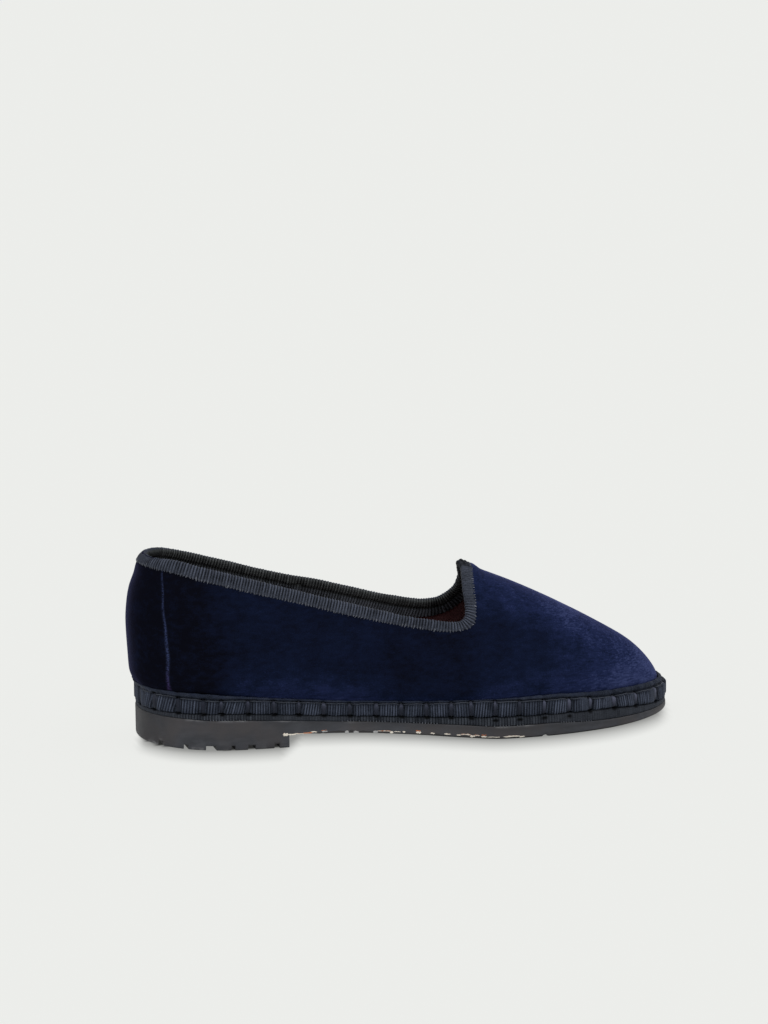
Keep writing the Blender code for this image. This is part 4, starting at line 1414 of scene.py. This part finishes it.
def make_stitches(thread):
    """Whip stitches over the welt, one in each draw of its pillows, with a painted highlight at their heads.
    """
    # pale and toe_pale are painted highlights along each stitch, strongest near its head and at the toe
    Turn = namedtuple("Turn", "zone up sink wide pale toe_pale")
    turns = [
        Turn(1, 0.12, -0.85, 1.3, 0.0, 0.0),
        Turn(0, 0.99, 0.0, 1.9, 0.4, 0.6),
        Turn(0, 0.91, 0.30, 2.2, 1.0, 1.1),
        Turn(0, 0.74, 0.36, 2.3, 0.5, 1.0),
        Turn(0, 0.5, 0.36, 2.3, 0.12, 0.6),
        Turn(0, 0.26, 0.36, 2.2, 0.0, 0.2),
        Turn(0, 0.1, 0.30, 2.0, 0.0, 0.0),
        Turn(0, 0.02, 0.0, 1.6, 0.0, 0.0),
        Turn(0, 0.0, -0.9, 1.1, 0.0, 0.0),
    ]
    _, _, sink, wide, pale, toe_pale = (np.array(column) for column in zip(*turns))
    front, sewn = sewn_front([Roll(turn.zone, turn.up, 3.5 - 1.4 * turn.zone, 0, 1.0) for turn in turns])
    rng = np.random.default_rng(STITCH_SEED)
    count, rows = len(sewn), len(turns)
    outward = np.zeros((count, rows, 3))
    outward[:, :, :2] = front.normals[sewn][:, None]
    slant = rng.uniform(-0.25, 0.55, count)[:, None] * np.linspace(-1, 1, rows)
    paths = front.points[sewn] + outward * sink[:, None] + np.cross(outward, UPRIGHT) * slant[:, :, None]
    paths[:, -1, 2] -= 0.3
    widths = wide * rng.uniform(0.62, 1.15, count)[:, None]
    toward_toe = grows(front.feet[sewn, :1], 160, 20)
    pale = pale * rng.uniform(0.1, 0.8, count)[:, None] * (1 - toward_toe) + toe_pale * toward_toe
    make_threads("whip_stitches", paths, outward, widths, 1.0, thread, STITCH_SIDES, pale=pale[:, :, None])


def make_tier(ribbon, picot):
    """Midsole with its ribbed ribbon edge, the stitch holes in it and its picots below."""
    side_share = both_sides(stitch_shares(STITCH_STEPS // 2))
    shares = one_side(side_share)
    Step = namedtuple("Step", "inset rise ribbed")
    steps = [
        Step(1.0, 0.0, 0),
        Step(0.55, 0.03, 0.6),
        Step(0.40, 0.14, 1),
        Step(0.36, 0.32, 1),
        Step(0.36, 0.46, 1),
        Step(0.37, 0.58, 1),
        Step(0.38, 0.68, 1),
        Step(0.42, 0.78, 1),
        Step(0.5, 0.88, 1),
        Step(0.95, 0.99, 0.3),
        Step(1.6, 1.0, 0),
    ]
    ribbon_inset = 0.4
    base, base_out = ring_outline(shares, ribbon_inset)
    station = base[:, 0]
    run = loop_lengths(base)[:-1]
    turns = run / TIER_PITCH
    rib = rib_wave(turns, 1, TIER_RIB_SEED)
    clear = grows(station, 9, 8) * fades(station, 44, 12) + grows(station, 80, 10)
    clear = (0.35 + 0.65 * np.clip(clear, 0, 1)) * (1 - 0.65 * grows(station, 168, 16))
    tone = 1 - 0.10 * bell(station - 64, 18) - 0.22 * bell(station - 104, 22) + 0.16 * bell(station - 164, 26)
    front, sewn = sewn_front([Roll(0, 0.02, 3.5, 0, 1.0)])
    holes = [run[np.hypot(*(base - front.points[i, 0, :2]).T).argmin()] for i in sewn]
    gap = np.abs(run[:, None] - np.array(holes)[None]).min(axis=1)
    hole_rise = 0.86 - 0.22 * grows(station, 138, 14) + 0.28 * grows(station, 186, 10)
    wide = 0.9 + 0.4 * np.sin(side_share * 90) ** 2
    rings, crest, pit, up = [], [], [], []
    for step in steps:
        def level(station, rise=step.rise):
            low = outsole_top(station) + 0.02
            return low + rise * (feather(station) - 0.05 - low)
        ring, normals = ring_at(shares, step.inset, level)
        hole = bell(gap, wide) * bell(step.rise - hole_rise, 0.15)
        ring[:, :2] += normals * (0.28 * (rib - 0.5) * clear * step.ribbed - 0.5 * hole)[:, None]
        rings.append(ring)
        crest.append((rib * clear + 0.42 * (1 - clear)) * tone * step.ribbed)
        # painted shade in the stitch holes and along the tier's top under the welt
        pit.append(np.clip(1.9 * hole + 0.35 * bell(step.rise - 1.0, 0.1), 0, 1))
        up.append(ring[:, 2] + np.floor(turns) * 0.37)
    make_plate(
        "midsole_edge", rings, TIER_COLUMNS, ribbon, slot="midsole_ribbon", replaces=["midsole"],
        fields=plate_fields(TIER_COLUMNS, rib=crest, pit=pit, up=up),
    )
    make_tier_picots(base, base_out, run, picot)


def make_tier_picots(base, base_out, run, picot):
    """Weft loops below the tier's ribbon, on most of its ribs where it shows them."""
    rng = np.random.default_rng(PICOT_SEED)
    runs = (np.arange(round(run[-1] / TIER_PITCH)) + 0.5) * TIER_PITCH
    at = np.interp(runs, run, np.arange(len(run)))
    spot, out = closed_at(base, at), closed_at(base_out, at)
    shown = np.any([(spot[:, 0] > first) & (spot[:, 0] < last) for first, last in TIER_PICOTS], axis=0)
    shown &= rng.random(len(runs)) < 0.8
    spot, out = spot[shown], out[shown]
    rise, proud = np.array([0.55, 0.32, 0.1, -0.08]), np.array([0.05, 0.2, 0.28, 0.12])
    paths = np.empty((len(spot), len(rise), 3))
    paths[:, :, :2] = spot[:, None] + out[:, None] * proud[:, None]
    paths[:, :, 2] = outsole_top(spot[:, :1]) + rise
    outward = np.repeat(np.column_stack([out, np.zeros(len(out))])[:, None], len(rise), axis=1)
    widths = np.array([0.25, 0.45, 0.45, 0.25]) * rng.uniform(0.6, 1.15, len(spot))[:, None]
    make_threads("tier_picots", paths, outward, widths, 0.3, picot, PICOT_SIDES)


# Rubber, cord ends and insole

def tread_relief(station, share):
    """Shallow sipes across the forefoot's tread, which stop short of its edge."""
    pitch, width, depth, margin = 7.0, 0.9, 0.7, 0.10
    inside = eased((0.5 - np.abs(share - 0.5) - margin) / 0.04)
    forefoot = grows(station, 138, 4) * fades(station, 222, 4)
    wave = bell((station % pitch) - pitch / 2, width)
    return depth * wave * inside * forefoot


def make_outsole(rubber):
    """Rubber plate with the arch and the toe spring, flush with the heel lift under it."""
    shares = evenly(SOLE_STEPS)
    Step = namedtuple("Step", "inset share more worn shade lip")
    # lip is painted shade along the lower edge
    edge = [
        Step(0.75, 0, 0.0, 0, 0, 1),
        Step(0.38, 0, 0.12, 0, 0, 1),
        Step(0.17, 0, 0.42, 0, 0, 0.9),
        Step(0.10, 0, 0.75, 0, 0, 0),
    ]
    # worn is a painted highlight along the top edge; shade is painted shade under the tier
    wall = [
        Step(0.10, 0.4, 0.0, 0, 0.06, 0),
        Step(0.10, 1, -1.1, 0, 0.34, 0),
        Step(0.12, 1, -0.34, 0.25, 0.45, 0),
        Step(0.24, 1, -0.06, 1, 0.35, 0),
        Step(0.80, 1, 0.0, 1, 0.35, 0),
    ]
    rings, worn, shade, lip = [], [], [], []
    for step in edge + wall:
        def level(station, step=step):
            return underside(station) + step.share * through(LEVELS, "outsole", station) + step.more
        ring, _ = ring_at(shares, step.inset, level)
        if step in edge:
            flush, _ = ring_at(shares, OUTSOLE_INSET, level)
            over_heel = ring[:, 0] < HEEL_BREAST
            ring[over_heel] = flush[over_heel]
            lateral = ring[:, 1] < centre_line(ring[:, 0])
            cut = NOTCH.deep * bell(ring[:, 0] - NOTCH.station, NOTCH.wide) * lateral
            ring[:, 2] = np.maximum(ring[:, 2], underside(ring[:, 0]) + cut)
        station = ring[:, 0]
        rings.append(ring)
        worn.append(step.worn * np.clip(in_spans(station, LIT_EDGE_SPANS, 3), 0.10, 1))
        top_shade = step.shade * (0.3 + 0.7 * grows(station, 48, 20))
        shade.append(np.clip(top_shade + heel_shade(station), 0, 1))
        lip.append(step.lip * grows(station, 76, 20) * fades(station, 206, 12))
    make_plate(
        "outsole_rubber", rings, SOLE_COLUMNS, rubber, relief=tread_relief, slot="outsole_rubber",
        replaces=["outsole"], fields=plate_fields(SOLE_COLUMNS, worn=worn, shade=shade, lip=lip),
    )


def heel_shade(station):
    """Rubber is darker round the back of the heel and a little darker over the whole lift."""
    return 0.55 * fades(station, 0, 15) + 0.10 * fades(station, 58, 10)


def heel_tread(station):
    """Height of the heel's tread over the floor, bevelled at the back."""
    return HEEL_BEVEL * np.clip(1 - station / HEEL_BEVEL_LENGTH, 0, 1) ** 1.6


def heel_floor():
    """Stations and heights along the heel's tread, with a pair at each groove wall."""
    lead, bend = 0.22, ((-0.22, 0.0), (0.0, 0.14), (0.03, GROOVE_DEPTH - 0.2), (0.2, GROOVE_DEPTH))
    length = HEEL_BREAST - OUTSOLE_INSET
    rows = []
    for station in (1 - np.cos(np.linspace(0, math.pi / 2, HEEL_ROWS))) * length + OUTSOLE_INSET:
        if all(abs(station - g.station) > g.width / 2 + lead for g in GROOVES):
            rows.append((station, 0.0))
    for g in GROOVES:
        for side in (-1, 1):
            rows += [(g.station + side * (g.width / 2 - into), rise) for into, rise in bend]
    return np.array(sorted(rows))


def make_heel(rubber):
    """Rubber lift under the heel, with a rounded edge and the grooves of its tread."""
    overlap, sharp = 0.8, math.radians(42)
    stations, cut = heel_floor().T
    floor = heel_tread(stations) + cut
    top = underside(stations) + overlap
    edge = [(1.05, 0.0), (0.55, 0.12), (0.26, 0.4), (0.14, 0.85), (0.09, 1.6)]
    columns = [(inset, np.minimum(floor + rise, top - 0.2)) for inset, rise in edge]
    columns += [(0.09, (floor + 1.6 + top) / 2), (0.09, top)]
    low_edge = [0.8, 1, 1, 0.7, 0.1, 0, 0]
    points, around = [], 2 * len(columns)
    for i, station in enumerate(stations):
        places = [max(station, inset + 1e-3) for inset, _ in columns]
        lateral, medial = (
            [(x, edge_at(x, side, inset), z[i]) for x, (inset, z) in zip(places, columns)]
            for side in (LATERAL, MEDIAL)
        )
        points += lateral + medial[::-1]
    last = (len(stations) - 1) * around
    faces = tube_faces(len(stations), around)
    faces += [list(range(around))[::-1], list(range(last, last + around))]
    at = np.array(points)[:, 0]
    # painted light from the floor along the heel's lower edge
    worn = np.tile(low_edge + low_edge[::-1], len(stations)) * in_spans(at, HEEL_LIT_SPANS, 1.5)
    fields = {"shade": heel_shade(at), "worn": worn}
    piece = make_piece(
        "heel_rubber", points, faces, rubber, slot="heel_rubber", replaces=["heel_lift"], fields=fields
    )
    piece.data.set_sharp_from_angle(angle=sharp)


def make_flecks(material):
    """Cut cord ends along the lower edge of the sole, from the heel's breast to the ball, each
    with an orange upper edge."""
    inset, thick = 0.12, 0.5
    round_ends = np.array([0.35, 0.9, 1.0, 0.9, 1.0, 0.9, 0.35])
    rows = len(round_ends)
    angle = 2 * math.pi * np.arange(FLECK_SIDES) / FLECK_SIDES
    rng = np.random.default_rng(FLECK_SEED)
    paths, outward, widths, tints = [], [], [], []
    for side in (LATERAL, MEDIAL):
        upper_edge = np.clip(side * np.cos(angle), 0, 1) ** 2
        for fleck in FLECKS:
            station = np.linspace(fleck.first, fleck.last, rows)
            middle = underside(station) + fleck.rise + rng.uniform(-0.12, 0.12, rows)
            paths.append(np.column_stack([station, edge_at(station, side, inset), middle]))
            outward.append(np.tile([0.0, side, 0.0], (rows, 1)))
            tall = np.linspace(fleck.tall, fleck.tip, rows) * round_ends
            widths.append(tall * rng.uniform(0.7, 1.2, rows))
            tints.append(fleck.tint + rng.uniform(-0.06, 0.06, rows)[:, None] + 0.28 * upper_edge)
    widths, tints = np.array(widths), np.array(tints)
    make_threads("cord_flecks", paths, outward, widths, thick, material, FLECK_SIDES, tint=tints)


def make_insole(cloth):
    """Footbed inside the wall, rounded at its edge."""
    inset, lift = WELT_DEPTH + WALL + GAP, 0.05
    steps = [(0.2, 0.0), (0.25, 0.5), (0.4, 0.82), (0.8, 0.96), (1.5, 1.0)]
    rings = []
    for more, share in steps:
        def level(station, share=share):
            return midsole_top(station) + lift + share * (GAP + INSOLE_THICKNESS - lift)
        rings.append(ring_at(evenly(INSOLE_STEPS), inset + more, level)[0])
    piece = make_plate(
        "insole_cloth", rings, INSOLE_COLUMNS, cloth, slot="insole_cloth", replaces=["insole"]
    )


# Floor, light and camera

def floor_material():
    """Pale floor that glows as a light table; its glow is dimmed by the field shade, a painted shadow round
    the shoe's foot.
    """
    material, tree, shader = new_material("pale_floor")
    feed(tree, shader, {
        "Base Color": (0.050, 0.050, 0.049, 1.0), "Roughness": 0.9, "Specular IOR Level": 0.0,
        "Emission Color": (0.990, 1.0, 0.972, 1.0),
        "Emission Strength": spread(tree, value_of(tree, "shade"), 0.0, 1.0, 0.797, 0.0),
    })
    return material


def floor_shade(x, y):
    """Painted shadow of the shoe on the floor at places in its own millimetres, as if a light came over the
    shoe from behind: it falls to the front and is short at the back and the ends."""
    turn, lean = math.radians(-13), 4.37
    reach, back_reach, contact = 28.2, 16, 0.97
    outline_steps, mark_count, near_by, taps = 300, 160, 1.5, 5
    outline, _ = ring_outline(evenly(outline_steps), OUTSOLE_INSET)
    station = outline[:, 0]
    clearance = np.where(station < HEEL_BREAST, heel_tread(station), underside(station))

    def turned(x, y):
        return x * math.cos(turn) + y * math.sin(turn), x * math.sin(turn) - y * math.cos(turn)

    across, ahead = turned(station, outline[:, 1])
    low, high = across.min(), across.max()
    marks = np.linspace(low, high, mark_count)
    near = np.abs(across[None] - marks[:, None]) < near_by
    front = np.where(near, ahead - lean * clearance, -1e3).max(axis=1)
    front = np.convolve(np.pad(front, taps // 2, mode="edge"), np.full(taps, 1 / taps), mode="valid")
    back = np.where(near, ahead, 1e3).min(axis=1)
    place, depth = turned(x, y)
    behind = np.maximum(np.interp(place, marks, back) - depth, 0)
    depth = depth - np.interp(place, marks, front)
    shade = 0.63 * np.clip(1 - np.maximum(depth, 0) / reach, 0, 1) ** 1.35 + 0.06 * eased(-depth / 25)
    shade *= grows(place, low, 5) * eased((high + 2 - place) / 7)
    shade *= np.clip(1 - behind / back_reach, 0, 1) ** 1.4
    at = np.clip(x, 0.5, HEEL_BREAST)
    under = (y > edge_at(at, LATERAL, 2.5)) & (y < edge_at(at, MEDIAL, 2.5))
    # painted shadow, darkest, under the heel between its grooves
    heel = under & (depth < -1) & (x > 3) & (x < HEEL_BREAST - 1) & ((x < 11) | (x > 33))
    return np.where(heel, contact, shade)


def make_floor():
    """Floor on a grid that is fine round the shoe, with a painted shadow at its foot."""
    size, long, wide, step = 30.0, 0.180, 0.120, 0.003
    xs = np.concatenate([[-size], np.arange(-long, long + 0.001, step), [size]])
    ys = np.concatenate([[-size], np.arange(-wide, wide + 0.001, step), [size]])
    x, y = (grid.ravel() for grid in np.meshgrid(xs, ys, indexing="ij"))
    i, j = np.meshgrid(np.arange(len(xs) - 1), np.arange(len(ys) - 1), indexing="ij")
    first = (i * len(ys) + j).ravel()
    faces = np.column_stack([first, first + len(ys), first + len(ys) + 1, first + 1])
    shade = floor_shade(x / MM - SHIFT[0], y / MM - SHIFT[1])
    shade[(np.abs(x) > 1) | (np.abs(y) > 1)] = 0.0
    points = np.column_stack([x, y, np.zeros(len(x))])
    floor = link_mesh("floor", points, faces.tolist(), floor_material(), {"shade": shade})


def make_light():
    """Soft light from all round and a broad light from above."""
    world = bpy.data.worlds.new("studio")
    world.use_nodes = True
    background = {"Color": (0.985, 1.0, 1.0, 1.0), "Strength": 0.72}
    feed(world.node_tree, world.node_tree.nodes["Background"], background)
    bpy.context.scene.world = world
    light = bpy.data.lights.new("overhead", "SUN")
    light.energy = 1.02
    light.angle = math.radians(60)
    lamp = bpy.data.objects.new("overhead", light)
    lamp.rotation_euler = (math.radians(12), math.radians(8), 0)
    bpy.context.scene.collection.objects.link(lamp)


def make_camera():
    """Camera at the photograph's place: beside the heel's quarter, a little above."""
    azimuth, elevation, roll = math.radians(-13), math.radians(10), math.radians(0.8)
    distance, pixels_per_mm, picture, sensor = 2000.0, 2.257, 1024, 36.0
    seen, middle = np.array([382.4, 725.6]), np.array([384.0, 512.0])
    known_station = 110.0
    known = np.array([SHIFT[0] + known_station, 0.0, 0.0])
    back = np.array([
        math.sin(azimuth) * math.cos(elevation), -math.cos(azimuth) * math.cos(elevation), math.sin(elevation)
    ])
    right = np.array([math.cos(azimuth), math.sin(azimuth), 0.0])
    up = np.cross(back, right)
    across = right * math.cos(roll) - up * math.sin(roll)
    upward = up * math.cos(roll) + right * math.sin(roll)
    offset = (seen - middle) / pixels_per_mm
    place = (known - across * offset[0] + upward * offset[1] + back * distance) * MM
    data = bpy.data.cameras.new("camera")
    data.sensor_width = sensor
    data.lens = sensor * distance * pixels_per_mm / picture
    data.clip_start, data.clip_end = 0.05, 60.0
    camera = bpy.data.objects.new("camera", data)
    camera.matrix_world = Matrix([*np.column_stack([across, upward, back, place]).tolist(), [0, 0, 0, 1]])
    bpy.context.scene.collection.objects.link(camera)
    bpy.context.scene.camera = camera


def dress():
    """Light, floor and camera, and then every piece of the shoe."""
    bpy.context.scene.view_settings.view_transform = "Standard"
    make_camera()
    make_floor()
    make_light()
    binding = ribbon_material(
        "binding_grosgrain", (0.0040, 0.0050, 0.0080), (0.0880, 0.1000, 0.1370), 0.62,
        inner=((0.0070, 0.0076, 0.0080), (0.1080, 0.1160, 0.1180)), low=(0.1180, 0.1290, 0.1540),
    )
    welt = ribbon_material("welt_grosgrain", (0.0046, 0.0066, 0.0120), (0.0860, 0.1010, 0.1460), 0.64)
    tier = ribbon_material("tier_grosgrain", (0.0066, 0.0082, 0.0120), (0.0590, 0.0660, 0.0820), 0.66)
    thread = thread_material(
        "stitch_thread", (0.0085, 0.0105, 0.0180), (0.0170, 0.0205, 0.0340), bright=(0.0700, 0.0760, 0.1150)
    )
    cord = thread_material("edge_thread", (0.0240, 0.0280, 0.0370), (0.0680, 0.0760, 0.1000))
    picot = thread_material(
        "picot_thread", (0.0280, 0.0320, 0.0430), (0.0900, 0.0980, 0.1250), bright=(0.1700, 0.1800, 0.2150)
    )
    pale_picot = thread_material("tier_thread", (0.0400, 0.0440, 0.0560), (0.1500, 0.1600, 0.1900))
    make_upper(velvet_material())
    make_lining(cloth_material("lining_cloth", (0.082, 0.0320, 0.0350), (0.165, 0.0650, 0.0690), 0.55))
    make_binding(binding, picot)
    make_welt(welt, cord)
    make_stitches(thread)
    make_tier(tier, pale_picot)
    make_outsole(rubber_material("sole_rubber"))
    make_heel(rubber_material("lift_rubber"))
    make_flecks(fleck_material())
    make_insole(cloth_material("footbed_cloth", (0.060, 0.0140, 0.0130), (0.120, 0.0300, 0.0270), 0.70))


dress()
